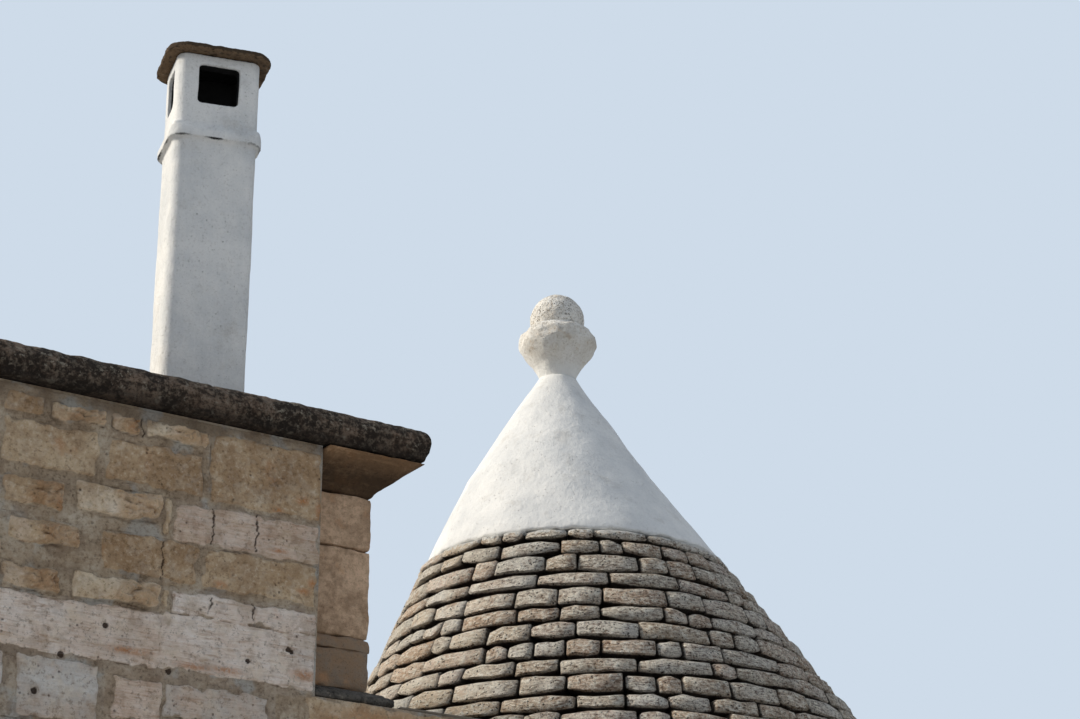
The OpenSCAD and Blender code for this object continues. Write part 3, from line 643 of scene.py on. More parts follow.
class Stones:
    """A mesh of stones, all copied from one block with so many strips along x, y and z."""

    def __init__(self, cuts):
        self.cuts, self.bm = cuts, bmesh.new()
        bmesh.ops.create_cube(self.bm, size=1.0)
        for axis, count in enumerate(cuts):
            across = Vector([1.0 if k == axis else 0.0 for k in range(3)])
            for k in range(1, count):
                bmesh.ops.bisect_plane(self.bm, geom=self.whole(), plane_co=across * (k / count - 0.5),
                                       plane_no=across)
        for name in ("tone", "kind", "edge"):
            self.bm.verts.layers.float.new(name)
        self.pattern = self.whole()

    def whole(self):
        return self.bm.verts[:] + self.bm.edges[:] + self.bm.faces[:]

    def lay(self, size, rim, place, tone, kind=0.0, crown=0.004, wear=0.004, fine=9.0, deep_rim=0.0):
        """Adds one stone: x runs along the course, y out of the wall and z up."""
        shift = Vector((tone * 37.0, kind * 11.0, tone * 91.0))
        made = bmesh.ops.duplicate(self.bm, geom=self.pattern)["geom"]
        layers = [self.bm.verts.layers.float[name] for name in ("tone", "kind", "edge")]
        for v in [g for g in made if isinstance(g, bmesh.types.BMVert)]:
            unit = v.co.copy()
            point, edge = softened(unit, self.cuts, size, rim)
            if unit.y > 0.4:
                point.y += crown * (1 - 4 * unit.x ** 2) * (1 - 4 * unit.z ** 2) - deep_rim * edge
            elif edge:
                edge = SIDE_EDGE
            for finer, share in ((1, 1), (3.1, 0.5), (8.3, 0.2)):
                point += noise.noise_vector(point * fine * finer + shift) * wear * share
            v.co = place(point)
            for layer, number in zip(layers, (tone, kind, edge)):
                v[layer] = number

    def settle(self, name, slot, replaced=(), sharp=60):
        corners = [g for g in self.pattern if isinstance(g, bmesh.types.BMVert)]
        bmesh.ops.delete(self.bm, geom=corners, context="VERTS")
        # On a wall or a ring the block's axes are a mirror image, which turns its faces inwards
        if self.bm.calc_volume(signed=True) < 0:
            bmesh.ops.reverse_faces(self.bm, faces=self.bm.faces)
        settle(self.bm, name, slot, replaced, sharp)


# %% [markdown]
# ## The cone of roof stones
# The CAD model has every ring of roof stones as one solid ring, at its true height and
# radius. Here each ring is broken up into separate stones, as they are in the photograph:
# 12 to 35 cm long, with tight joints that are staggered from ring to ring. The face of a
# stone leans back with the slope of the cone, and its four corners are chipped by chance.
# The cone itself leans to the left, more and more towards its tip, so the middle of each
# ring is shifted.

# %% Shape of the cone
CONE_FOOT_R, KNEE_R, NECK_R = 1.545, 0.472, 0.095
KNEE_H, NECK_H = 1.820, 2.385
COURSE_H, COURSE_PLAY, OPEN_COURSES = 0.094, 0.12, 15
LEAN_RUN, LEAN_BEND = 0.285, 1.2
CELL_WALL, CELL_ROOM_HALF = 0.75, 1.15
CONE_MIDDLE = (CELL_W - CELL_WALL - CELL_ROOM_HALF, DEPTH / 2)


def cone_radius(h):
    if h < KNEE_H:
        return CONE_FOOT_R + (KNEE_R - CONE_FOOT_R) * h / KNEE_H
    return KNEE_R + (NECK_R - KNEE_R) * (h - KNEE_H) / (NECK_H - KNEE_H)


def cone_middle(h):
    lean = LEAN_RUN * (max(min(h, KNEE_H), 0.0) / KNEE_H) ** LEAN_BEND
    return CONE_MIDDLE[0] + lean * math.cos(LEAN_TURN), CONE_MIDDLE[1] + lean * math.sin(LEAN_TURN)


def course_height(i):
    if i == OPEN_COURSES - 1:
        return 0.7 * COURSE_H
    return COURSE_H * (1 + COURSE_PLAY * math.sin(math.radians(155 * i)))


SLOPE = (CONE_FOOT_R - KNEE_R) / KNEE_H
ring_feet = [sum(course_height(k) for k in range(i)) for i in range(OPEN_COURSES + 1)]
print("limewash begins at", round(WALL_TOP + ring_feet[-1], 3), "and the CAD cap at", round(LIME_EDGE, 3))

# %% Roof stones
ROOF_CUTS = (5, 2, 3)
STONE_DEEP = 0.150
STONE_LENGTHS = (0.12, 0.15, 0.19, 0.22, 0.25, 0.28, 0.32, 0.35)
CHIPS, CHIP_REACH = (0.002, 0.004, 0.007, 0.011, 0.017, 0.025), 0.060


def chipped_outline(p, size, chips):
    """Rounds the corners of a stone's face: chips holds how much is missing at each of the four."""
    u, w = p.x / size[0] + 0.5, p.z / size[2] + 0.5
    low_left, low_right, high_left, high_right = chips
    near_left = max(0.0, 1 - u * size[0] / CHIP_REACH) ** 2
    near_right = max(0.0, 1 - (1 - u) * size[0] / CHIP_REACH) ** 2
    drop = (high_left * near_left + high_right * near_right) * max(0.0, w)
    lift = (low_left * near_left + low_right * near_right) * max(0.0, 1 - w)
    return Vector((p.x, p.y, p.z - drop + lift))


def ring_of_stones(stones, i, dice):
    foot, height = ring_feet[i], course_height(i)
    radius = cone_radius(foot + height / 2)
    middle = cone_middle(ring_feet[i + 1])
    turn = dice.uniform(0, 1)
    choice = STONE_LENGTHS[:-2] if radius < 0.8 else STONE_LENGTHS
    lengths = []
    while sum(lengths) < math.tau * radius:
        lengths.append(dice.choice(choice) * dice.uniform(0.9, 1.1))
    scale = math.tau * radius / sum(lengths)
    for length in lengths:
        length *= scale
        centre = turn + length / 2 / radius
        turn += length / radius
        out, sag, tilt = dice.uniform(-0.006, 0.006), dice.uniform(-0.003, 0.002), dice.uniform(-0.02, 0.02)
        size = (length - dice.uniform(0.000, 0.006), STONE_DEEP, height - dice.uniform(0.001, 0.007))
        chips = [dice.choice(CHIPS) for _ in range(4)]
        wedge, phase = dice.uniform(-0.10, 0.10), dice.uniform(0, 50)

        def place(p):
            p = chipped_outline(p, size, chips)
            wave = waver(p.x * 14 + phase, p.z * 4, 0) * 0.007
            tapered = p.z * (1 - abs(wedge) + 2 * wedge * p.x / size[0])
            z = foot + height / 2 + tapered + sag + p.x * tilt + wave
            r = radius - STONE_DEEP / 2 + p.y + out - 0.68 * SLOPE * p.z
            a = centre + p.x / radius
            return spot(middle[0] + r * math.cos(a), middle[1] + r * math.sin(a), WALL_TOP + z)

        stones.lay(size, min(0.009, height * 0.12), place, dice.uniform(0, 1), dice.uniform(0, 1),
                   crown=dice.uniform(0.001, 0.007), wear=0.0075, fine=14.0, deep_rim=0.0100)


dice = random.Random(7)
for node, first, last in (("lower", 0, 6), ("middle", 6, 11), ("upper", 11, OPEN_COURSES)):
    stones = Stones(ROOF_CUTS)
    for i in range(first, last):
        ring_of_stones(stones, i, dice)
    stones.settle("roof_stones_" + node, "roof_stone", ["roof_courses_" + node], 70)

# %% [markdown]
# ## Limewashed tip
# The tip is a plastered cone. Its outline is drawn once and spun round the axis. Then the
# points are moved by soft noise, because the coat was laid on by hand over rough stone. Its
# lower edge is made ragged where it runs out over the last ring of stones, and on the side
# to which the cone leans the coat is thinner, so that its outline there is straight.

# %% Limewashed tip
CAP_STEPS, CAP_RISE = 168, 0.014


def spin_round(bm, geom, steps):
    """Spins an outline round the upright axis and joins the ends."""
    bmesh.ops.spin(bm, geom=geom, cent=(0, 0, 0), axis=(0, 0, 1), angle=math.tau, steps=steps, use_merge=True)


def limewashed_tip():
    bm = bmesh.new()
    foot, top = ring_feet[-1], NECK_H
    count = int((top - foot) / CAP_RISE)
    outline = [(cone_radius(foot) - 0.034, foot - 0.004), (cone_radius(foot) - 0.009, foot - 0.006)]
    outline += [(cone_radius(h), h) for h in (foot + (top - foot) * k / count for k in range(count + 1))]
    outline += [(0.0, top)]
    dots = [bm.verts.new((r, 0, h)) for r, h in outline]
    lines = [bm.edges.new(pair) for pair in zip(dots, dots[1:])]
    spin_round(bm, dots + lines, CAP_STEPS)
    bmesh.ops.remove_doubles(bm, verts=bm.verts, dist=1e-5)
    bmesh.ops.holes_fill(bm, edges=[e for e in bm.edges if e.is_boundary], sides=0)
    for v in bm.verts:
        r, h = v.co.xy.length, v.co.z
        if r > 1e-4:
            near_foot = max(0.0, 1 - (h - foot) / 0.05)
            ragged = noise.noise(v.co * 16) * 0.011 + noise.noise(v.co * 55) * 0.006
            swell = noise.noise(v.co * 5.5) * 0.006 + noise.noise(v.co * 19) * 0.0022 - 0.004
            fade = min(1.0, (top - h) / 0.05)
            flank = max(0.0, v.co.x / r * math.cos(LEAN_TURN) + v.co.y / r * math.sin(LEAN_TURN)) ** 2
            swell = swell * (1 - 0.5 * flank) - 0.022 * flank * math.exp(-((h - KNEE_H) / 0.20) ** 2)
            grow = 1 + (swell * fade - near_foot ** 2 * 0.010) / r
            v.co.x, v.co.y = v.co.x * grow, v.co.y * grow
            v.co.z += near_foot * (ragged + 0.002)
        middle = cone_middle(h)
        v.co = spot(v.co.x + middle[0], v.co.y + middle[1], v.co.z + WALL_TOP)
    bmesh.ops.recalc_face_normals(bm, faces=bm.faces)
    settle(bm, "limewashed_tip", "limewash", ["plaster_cap"])


limewashed_tip()

# %% [markdown]
# ## Cup and ball
# The pinnacle is a ball of rough stone that sits in a flared cup. The cup is spun from its
# outline like the tip. Its rim has broken over the years, so it gets coarse noise near the
# rim and fine noise everywhere. The ball is an icosphere, the rounder sort of sphere, with
# a pitted skin. A bead of lime closes the joint between them.

# %% Cup and ball
NECK_MIDDLE = cone_middle(NECK_H)
NECK_Z = WALL_TOP + NECK_H
BALL_R, BALL_UP, BEAD_R, BEAD_UP = 0.139, 0.320, 0.134, 0.268
# Radius and height of the cup's outline
CUP_OUTLINE = ((0.0, -0.004), (0.088, -0.004), (0.092, 0.012), (0.106, 0.040), (0.128, 0.076), (0.153, 0.105),
               (0.174, 0.133), (0.190, 0.160), (0.199, 0.182), (0.196, 0.205), (0.192, 0.225), (0.186, 0.240),
               (0.170, 0.252), (0.152, 0.263), (0.142, 0.268), (0.132, 0.262), (0.0, 0.250))


def on_neck(point):
    return spot(point.x + NECK_MIDDLE[0], point.y + NECK_MIDDLE[1], point.z + NECK_Z)


def cup():
    bm = bmesh.new()
    dots = [bm.verts.new((r, 0, h)) for r, h in CUP_OUTLINE]
    lines = [bm.edges.new(pair) for pair in zip(dots, dots[1:])]
    bmesh.ops.subdivide_edges(bm, edges=lines[1:-1], cuts=2)
    spin_round(bm, bm.verts[:] + bm.edges[:], 112)
    bmesh.ops.remove_doubles(bm, verts=bm.verts, dist=1e-5)
    for v in bm.verts:
        r, h = v.co.xy.length, v.co.z
        if r > 0.02:
            broken = max(0.0, min(1.0, (h - 0.13) / 0.08))
            bite = min(0.0, noise.noise(v.co * 11 + Vector((3, 1, 0))) * 0.030 + 0.004) * broken
            fine = noise.noise(v.co * 30) * 0.004 + noise.noise(v.co * 75) * 0.002 - 0.003
            grow = 1 + (bite + fine * min(1.0, max(0.2, h / 0.05))) / r
            v.co.x, v.co.y = v.co.x * grow, v.co.y * grow
            v.co.z += noise.noise(v.co * 17) * 0.007 * broken
        v.co = on_neck(v.co)
    bmesh.ops.recalc_face_normals(bm, faces=bm.faces)
    settle(bm, "flared_cup", "pinnacle_stone", ["pinnacle_cup"])


def ball():
    bm = bmesh.new()
    bmesh.ops.create_icosphere(bm, subdivisions=6, radius=BALL_R - 0.002)
    for v in bm.verts:
        skin = noise.fractal(v.co * 28, 0.9, 2.0, 4) * 0.0028 + noise.noise(v.co * 9) * 0.003
        v.co += v.co.normalized() * min(0.0015, skin - 0.001)
        v.co += spot(NECK_MIDDLE[0], NECK_MIDDLE[1], NECK_Z + BALL_UP)
    settle(bm, "stone_ball", "pinnacle_stone", ["pinnacle_ball"])


def lime_bead():
    bm = bmesh.new()
    upright = Matrix.Translation((BEAD_R, 0, BEAD_UP)) @ Matrix.Rotation(math.radians(90), 4, "X")
    made = bmesh.ops.create_circle(bm, segments=10, radius=0.007, matrix=upright)
    spin_round(bm, made["verts"] + bm.edges[:], 96)
    for v in bm.verts:
        v.co += noise.noise_vector(v.co * 40) * 0.005
        v.co = on_neck(v.co)
    bmesh.ops.recalc_face_normals(bm, faces=bm.faces)
    settle(bm, "lime_bead", "limewash")


cup()
ball()
lime_bead()

# %% [markdown]
# ## Weathered copies
# Copings, mouldings, sills and the chimney have the right form in CAD, but their edges are
# knife-sharp. A copy of the CAD mesh is merged and given an even skin of small faces by the
# Remesh modifier, which also rounds every edge a little. Then each point is pushed inwards
# by noise. Pushing only inwards keeps the piece inside its true size.

# %% Weathered copy of a CAD node
JOINT_HALF, JOINT_DEEP = 0.007, 0.012


def weathered_copy(replaced, name, slot, skin, depth, scale, soften=1, joints=(), soot_and_shade_of=None):
    """Replaces CAD nodes by a worn copy with faces of size skin; joints are places along an axis."""
    bm = bmesh.new()
    for part in replaced:
        bm.from_mesh(nodes[part].data)
    bmesh.ops.remove_doubles(bm, verts=bm.verts, dist=1e-5)
    rough = bpy.data.meshes.new(name + "_rough")
    bm.to_mesh(rough)
    bm.free()
    draft = put(name + "_draft", rough)
    remesh = draft.modifiers.new("skin", "REMESH")
    remesh.mode, remesh.voxel_size = "VOXEL", skin
    bpy.context.view_layer.update()
    even = bpy.data.meshes.new_from_object(draft.evaluated_get(bpy.context.evaluated_depsgraph_get()))
    bpy.data.objects.remove(draft)
    bm = bmesh.new()
    bm.from_mesh(even)
    for _ in range(soften):
        bmesh.ops.smooth_vert(bm, verts=bm.verts, factor=0.5,
                              use_axis_x=True, use_axis_y=True, use_axis_z=True)
    bm.normal_update()
    moves = []
    for v in bm.verts:
        worn = 0.5 + 0.5 * noise.fractal(v.co * scale, 0.8, 2.0, 4)
        groove = 0.0
        for axis, at in joints:
            wander = v.co[axis] - at + noise.noise(v.co * 9) * 0.006
            groove = max(groove, 1 - abs(wander) / JOINT_HALF)
        moves.append(v.normal * -(max(0.0, worn) * depth + max(0.0, groove) * JOINT_DEEP))
    for v, move in zip(bm.verts, moves):
        v.co += move
    if soot_and_shade_of:
        layer = bm.verts.layers.float.new("soot_and_shade")
        for v in bm.verts:
            v[layer] = soot_and_shade_of(v.co)
    settle(bm, name, slot, replaced)


# %% [markdown]
# ## Copings, mouldings, slabs and sills
# The coping is the dark roll round the flat roof. It is laid in stones of a bit under a
# metre, so a shallow groove marks each joint. The mouldings under its corners, the grey
# sloping slabs under the corner piers, the sills and the threshold follow.

# %% Coping and mouldings
COPING_STONE = 0.92


def joints_along(axis, low, high, step, dice):
    places = []
    at = low + step * dice.uniform(0.5, 0.9)
    while at < high - step * 0.4:
        places.append((axis, at))
        at += step * dice.uniform(0.85, 1.15)
    return places


dice = random.Random(19)
for side, axis, skin, soften in (("front", 0, 0.0125, 2), ("back", 0, 0.0125, 2), ("left", 1, 0.015, 1),
                                 ("right", 1, 0.015, 1)):
    node = "coping_" + side
    low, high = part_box(node)
    weathered_copy([node], "lichen_" + node, "coping_stone", skin, 0.009, 17, soften,
                   joints_along(axis, low[axis], high[axis], COPING_STONE, dice))
weathered_copy(["cornices"], "worn_mouldings", "cornice_stone", 0.013, 0.005, 18)
weathered_copy(["weathering_slabs"], "worn_slabs", "weathering_stone", 0.008, 0.007, 20)
weathered_copy(["window_sills"], "worn_sills", "dressed_stone", 0.012, 0.004, 18)
weathered_copy(["door_threshold"], "worn_threshold", "paving_stone", 0.014, 0.006, 9, 2)

# %% [markdown]
# ## Chimney
# The chimney is masonry under one coat of plaster: shaft, collar and pierced head have no
# joint between them. So the three CAD nodes are joined first and get their skin together,
# and its corners turn round and slightly lumpy. A value marks what lies inside the head and
# under its slab, blackened with soot and painted shade, and a thin line of painted shade in
# the crease below the collar.

# %% Chimney
head_low, head_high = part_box("chimney_head")
CHIMNEY_MIDDLE = (head_low + head_high) / 2
CHIMNEY_TURN = math.radians(13.7)
HEAD_HALF, SHAFT_ROUND = (0.169, 0.140), 0.045
COLLAR_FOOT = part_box("chimney_collar")[0].z


def soot_and_shade_at(point):
    """Soot and painted shade: 1 inside the head and under its slab, painted shade in the crease below the
    collar, 0 on the open faces.
    """
    local = Matrix.Rotation(CHIMNEY_TURN, 3, "Z") @ (point - CHIMNEY_MIDDLE)
    qx, qy = abs(local.x) - HEAD_HALF[0] + SHAFT_ROUND, abs(local.y) - HEAD_HALF[1] + SHAFT_ROUND
    inside = SHAFT_ROUND - math.hypot(max(qx, 0.0), max(qy, 0.0)) - min(max(qx, qy), 0.0)
    covered = max(0.0, min(1.0, (COVER_FOOT + 0.014 - point.z) / 0.006))
    # Soot and painted shade inside the head and under its slab.
    deep = max(0.0, min(1.0, (inside - 0.009) / 0.012)) * covered
    # Painted shade in the crease below the collar.
    crease = max(0.0, 1 - abs(point.z - COLLAR_FOOT - 0.004) / 0.009)
    outside = min(1.0, max(0.0, -inside / 0.006 + 0.4))
    return max(deep, crease * outside * (0.55 + 0.5 * noise.noise(point * 14)))


weathered_copy(["chimney_shaft", "chimney_collar", "chimney_head"], "plastered_chimney", "chimney_plaster",
               0.0070, 0.005, 5.5, 2, (), soot_and_shade_at)
weathered_copy(["chimney_slab"], "chimney_cover", "chimney_slab_stone", 0.006, 0.006, 26, 1, (), soot_and_shade_at)

# %% [markdown]
# ## Walls of squared stone
# A wall is laid course by course. The function below fills a rectangle with blocks: it
# takes the levels of the bed joints, picks random lengths, and staggers the upright joints.
# Where a window or doorway lies, a block is cut into what remains beside, over and under it.

# %% Blocks of a wall
def without(block, hole):
    """What is left of a block (low u, high u, low z, high z) beside, over and under a hole."""
    a, b, c, d = block
    e, f, g, h = hole
    if b <= e or a >= f or d <= g or c >= h:
        return [block]
    parts = [(a, min(b, e), c, d), (max(a, f), b, c, d), (max(a, e), min(b, f), c, min(d, g)),
             (max(a, e), min(b, f), max(c, h), d)]
    return [p for p in parts if p[1] - p[0] > 0.05 and p[3] - p[2] > 0.045]


def fill_courses(start, end, levels, lengths, holes, dice):
    blocks = []
    for low, high in zip(levels, levels[1:]):
        at = start
        while at < end - 1e-6:
            length = dice.uniform(*lengths)
            if end - at - length < lengths[0] * 0.7:
                length = end - at
            blocks.append((at, at + length, low, high))
            at += length
    for hole in holes:
        blocks = [part for block in blocks for part in without(block, hole)]
    return blocks


def course_levels(low, high, step, dice):
    count = max(1, round((high - low) / step))
    inner = [low + (high - low) * (k + dice.uniform(-0.1, 0.1)) / count for k in range(1, count)]
    return [low] + inner + [high]


# %% [markdown]
# Each wall is described by where it starts and by which side of the house it is on. A
# block sticks out of the wall by a few millimetres and reaches a little way into it, so
# the mortar of the CAD wall shows between the blocks at its true depth. The rough bosses of
# the parapet stick out further. Blocks near the round arch of the doorway are pushed back
# to a circle, so that they end behind the arch stones.

# %% Faces of the house
BLOCK_CUTS = (4, 2, 3)
BED, BLOCK_JOINT, ARCH_COVERS, HONEY_SHARE = 0.006, 0.010, 0.07, 0.74
DOOR_MIDDLE, DOOR_SPRING = CONE_MIDDLE[0], arch_low.z
DOOR_HALF = (arch_high.x - arch_low.x) / 2
BEHIND_ARCH = DOOR_HALF - ARCH_COVERS
# For each side of the house: which way its blocks run, and which way it faces
SIDES = {"front": ((1, 0, 0), (0, -1, 0)), "back": ((-1, 0, 0), (0, 1, 0)),
         "left": ((0, -1, 0), (-1, 0, 0)), "right": ((0, 1, 0), (1, 0, 0))}


def behind_arch(u, z):
    """How far a point of the front is pushed to end behind the arch stones."""
    away = math.hypot(u - DOOR_MIDDLE, max(0.0, z - DOOR_SPRING))
    if z <= DOOR_SPRING or away >= BEHIND_ARCH:
        return Vector()
    return Vector((u - DOOR_MIDDLE, 0, z - DOOR_SPRING)) * (BEHIND_ARCH / max(away, 0.05) - 1)


def lay_wall(stones, blocks, start, side, dice, proud=0.008, look=None, arch=False):
    """Lays blocks on one face of the house; look gives (tone, kind, proud, rim, wear, crown) of a block."""
    along, face = (Vector(way) for way in SIDES[side])
    for a, b, c, d in blocks:
        tone = dice.uniform(0, 1)
        kind = dice.uniform(0.0, 0.40) if dice.random() < HONEY_SHARE else dice.uniform(0.5, 0.85)
        out, rim, wear, crown = proud * dice.uniform(0.5, 1.2), 0.013, 0.0035, 0.002
        if look:
            tone, kind, out, rim, wear, crown = look(tone, kind)

        def place(p):
            u, z = (a + b) / 2 + p.x, (c + d) / 2 + p.z
            point = spot(*start, 0) + along * u + face * (p.y + out - (out + BED) / 2) + Vector((0, 0, z))
            return point + behind_arch(u, z) if arch else point

        size = (b - a - BLOCK_JOINT, out + BED, d - c - BLOCK_JOINT)
        rim = min(rim, size[2] * 0.3, size[0] * 0.3)
        stones.lay(size, rim, place, tone, kind, crown=crown, wear=wear, fine=7.0)


LINTEL_OVER, LINTEL_H = 0.14, 0.19


def window_gap(u, low, wide, high):
    """The hole of a window, and the lintel stone over it."""
    left, right, head = u - wide / 2, u + wide / 2, low + high
    return (left, right, low, head), (left - LINTEL_OVER, right + LINTEL_OVER, head, head + LINTEL_H)


dice = random.Random(31)
LOWER = course_levels(0.0, WALL_TOP - 0.225, 0.23, dice) + [WALL_TOP]
CELL_LEVELS = course_levels(0.0, SLAB_FOOT, 0.235, dice)
# Windows as foot, width and height
ROOM_WINDOW, CELL_WINDOW = (1.0, 0.80, 1.0), (1.2, 0.52, 0.62)
for name, side, start, length, levels, window_at, window in (
        ("front_room", "front", (-ROOM_W, 0), ROOM_W, LOWER[:-1], ROOM_W / 2, ROOM_WINDOW),
        ("back_room", "back", (0, DEPTH), ROOM_W, LOWER, ROOM_W / 2, ROOM_WINDOW),
        ("left_room", "left", (-ROOM_W, DEPTH), DEPTH, LOWER, DEPTH / 2, ROOM_WINDOW),
        ("back_cell", "back", (CELL_W, DEPTH), CELL_W, CELL_LEVELS, CELL_W - DOOR_MIDDLE, CELL_WINDOW),
        ("right_cell", "right", (CELL_W, 0), DEPTH, CELL_LEVELS, DEPTH / 2, CELL_WINDOW)):
    hole, lintel = window_gap(window_at, *window)
    blocks = fill_courses(0.0, length, levels, (0.30, 0.62), [hole, lintel], dice) + [lintel]
    stones = Stones(BLOCK_CUTS)
    lay_wall(stones, blocks, start, side, dice)
    stones.settle("ashlar_" + name, "wall_limestone")

# %% [markdown]
# The front of the cell has the doorway in it. The blocks beside it end halfway behind the
# jamb stones. Over it they are pushed back to the circle behind the arch, and the few that
# would lie wholly inside the arch are left out.

# %% Front of the cell
hole = (DOOR_MIDDLE - BEHIND_ARCH, DOOR_MIDDLE + BEHIND_ARCH, 0.0, DOOR_SPRING)
RELIEF_END = (-1.0, 0.302, LOWER[-2], WALL_TOP + 0.1)
blocks = fill_courses(0.0, CELL_W, CELL_LEVELS, (0.28, 0.55), [hole, RELIEF_END], dice)
blocks = [(a, b, c, d) for a, b, c, d in blocks
          if c < DOOR_SPRING - 0.02 or d >= DOOR_SPRING + 0.50
          or a <= DOOR_MIDDLE - 0.40 or b >= DOOR_MIDDLE + 0.40]
stones = Stones(BLOCK_CUTS)
lay_wall(stones, blocks, (0, 0), "front", dice, arch=True)
stones.settle("ashlar_front_cell", "wall_limestone")

# %% [markdown]
# ## Edge of the cell's roof
# Thick slabs close the head of the cell's wall. Their edges show as one last course.

# %% Slab edges
stones = Stones(BLOCK_CUTS)
for side, start, low, high in (("front", (0, 0), 0.305, CELL_W), ("back", (CELL_W, DEPTH), 0.0, CELL_W),
                               ("right", (CELL_W, 0), 0.0, DEPTH)):
    blocks = fill_courses(low, high, [SLAB_FOOT + 0.004, WALL_TOP - 0.002], (0.4, 0.75), [], dice)
    lay_wall(stones, blocks, start, side, dice, 0.014)
stones.settle("slab_edges", "wall_limestone")

# %% [markdown]
# ## The front of the parapet as a relief
# The camera looks at this face from near by, so separate blocks would look like tiles: real
# mortar is smeared over their rims, some faces are rough bosses, and there are cracks and
# small holes. So the face is one fine sheet. Every point asks how deep it lies inside the
# nearest stone and rises or sinks by that. The list has the stones that the photograph
# shows, as left, right, foot, head and sort. Further left the same rows go on by chance.
# Cracks are a place, a foot and a head, holes a place and a radius, and stains of rust a
# place and two half widths.

# %% Stones of the front relief
HONEY, ROSY, BOSS, BAND, PALE = range(5)
SEEN = [
    (-1.11, -0.994, 3.552, 3.61, BOSS), (-0.972, -0.735, 3.555, 3.618, BOSS),
    (-1.33, -1.135, 3.545, 3.612, BOSS), (-1.5, -1.35, 3.545, 3.62, HONEY),
    (-0.72, -0.272, 3.357, 3.619, HONEY), (-1.115, -0.744, 3.365, 3.526, HONEY),
    (-1.5, -1.145, 3.362, 3.522, HONEY), (-1.49, -1.258, 3.22, 3.32, BOSS),
    (-1.22, -0.9, 3.238, 3.342, BOSS), (-0.848, -0.272, 3.19, 3.338, ROSY),
    (-0.89, -0.858, 3.2, 3.335, HONEY), (-0.728, -0.274, 3.036, 3.186, HONEY),
    (-1.116, -0.743, 3.038, 3.186, HONEY), (-1.455, -1.2, 3.093, 3.176, BOSS),
    (-0.845, -0.276, 2.93, 3.012, ROSY), (-1.212, -0.897, 2.93, 3.02, BOSS),
    (-1.465, -1.256, 2.93, 3.01, BOSS), (-0.886, -0.854, 2.935, 3.01, HONEY),
    (-0.88, -0.272, 2.726, 2.935, BAND), (-1.53, -0.874, 2.722, 2.918, BAND),
    (-1.384, -1.09, 2.495, 2.708, PALE), (-1.04, -0.857, 2.53, 2.68, ROSY),
    (-0.852, -0.455, 2.56, 2.682, PALE), (-0.31, 0.292, 2.5, 2.708, HONEY),
    (-1.72, -1.43, 2.495, 2.706, PALE), (-0.85, -0.47, 2.492, 2.545, HONEY)]
CRACKS = (
    (-0.7, 3.2, 3.334), (-0.53, 3.198, 3.34), (-0.7, 2.94, 3.006), (-0.53, 2.95, 3.014),
    (-0.885, 3.04, 3.18), (-0.99, 3.545, 3.615))
HOLES = (
    (-1.08, 2.847, 0.012), (-0.385, 2.866, 0.011), (-0.54, 2.801, 0.01), (-0.837, 2.722, 0.012),
    (-1.232, 2.724, 0.013), (-1.318, 2.584, 0.012), (-0.372, 2.858, 0.009))
STAINS = (
    (-0.35, 3.425, 0.035, 0.022), (-0.45, 3.372, 0.035, 0.016), (-0.285, 3.4, 0.016, 0.05),
    (-0.335, 3.085, 0.04, 0.018), (-0.3, 3.12, 0.03, 0.03), (-0.32, 2.78, 0.08, 0.03),
    (-0.62, 2.755, 0.09, 0.018), (-1, 2.77, 0.12, 0.02), (0.02, 2.62, 0.34, 0.1),
    (-0.66, 3.06, 0.04, 0.02), (-0.44, 3.22, 0.05, 0.012), (-0.75, 2.75, 0.1, 0.016))
PARAPET_LEVELS = [WALL_TOP + 0.005, 2.925, 3.022, 3.188, 3.345, 3.535]
RELIEF_FOOT, RELIEF_HEAD = LOWER[-2], 3.647

dice = random.Random(43)
SEEN_LOW = (-1.8, -1.4, 2.4, 2.6)
by_chance = fill_courses(-2.92, -1.535, PARAPET_LEVELS + [3.640], (0.24, 0.46), [SEEN_LOW], dice)
by_chance += fill_courses(-ROOM_W, -1.730, [RELIEF_FOOT + 0.004, WALL_TOP - 0.004], (0.26, 0.5), [], dice)
for a, b, c, d in by_chance:
    sort = dice.choice((HONEY, HONEY, ROSY, BOSS) if c > 3 else (HONEY, BAND))
    SEEN.append((a + 0.006, b - 0.006, c + 0.007, d - 0.007, sort))
TONES = [dice.uniform(0.25, 0.85) for _ in SEEN]
print("relief stones", len(SEEN))

# %% [markdown]
# A distance to a rounded rectangle tells how deep a point lies in a stone: above 0 inside,
# below 0 in the mortar. Noise shifts the point first, and this makes the outlines uneven.

# %% Height of the relief
STONE_CORNER, NEARBY = 0.012, 0.03
LUMP_WIDE, LUMPLET_WIDE = 0.058, 0.022
KIND_OF_SORT = {HONEY: 0.05, ROSY: 1.0, BOSS: 0.30, BAND: 0.72, PALE: 1.6}


def soft_step(value, low, high):
    t = max(0.0, min(1.0, (value - low) / (high - low)))
    return t * t * (3 - 2 * t)


def depth_in_stone(x, z, stone):
    low_x, high_x, low_z, high_z = stone[:4]
    qx = abs(x - (low_x + high_x) / 2) - (high_x - low_x) / 2 + STONE_CORNER
    qz = abs(z - (low_z + high_z) / 2) - (high_z - low_z) / 2 + STONE_CORNER
    return STONE_CORNER - math.hypot(max(qx, 0.0), max(qz, 0.0)) - min(max(qx, qz), 0.0)


def lumps_at(x, z, seed, wide):
    """Rounded lumps with sharp creases between them, from 0 in a crease to about 1."""
    return min(1.0, abs(waver(x / wide, z / wide * 1.4, seed)) * 2.4)


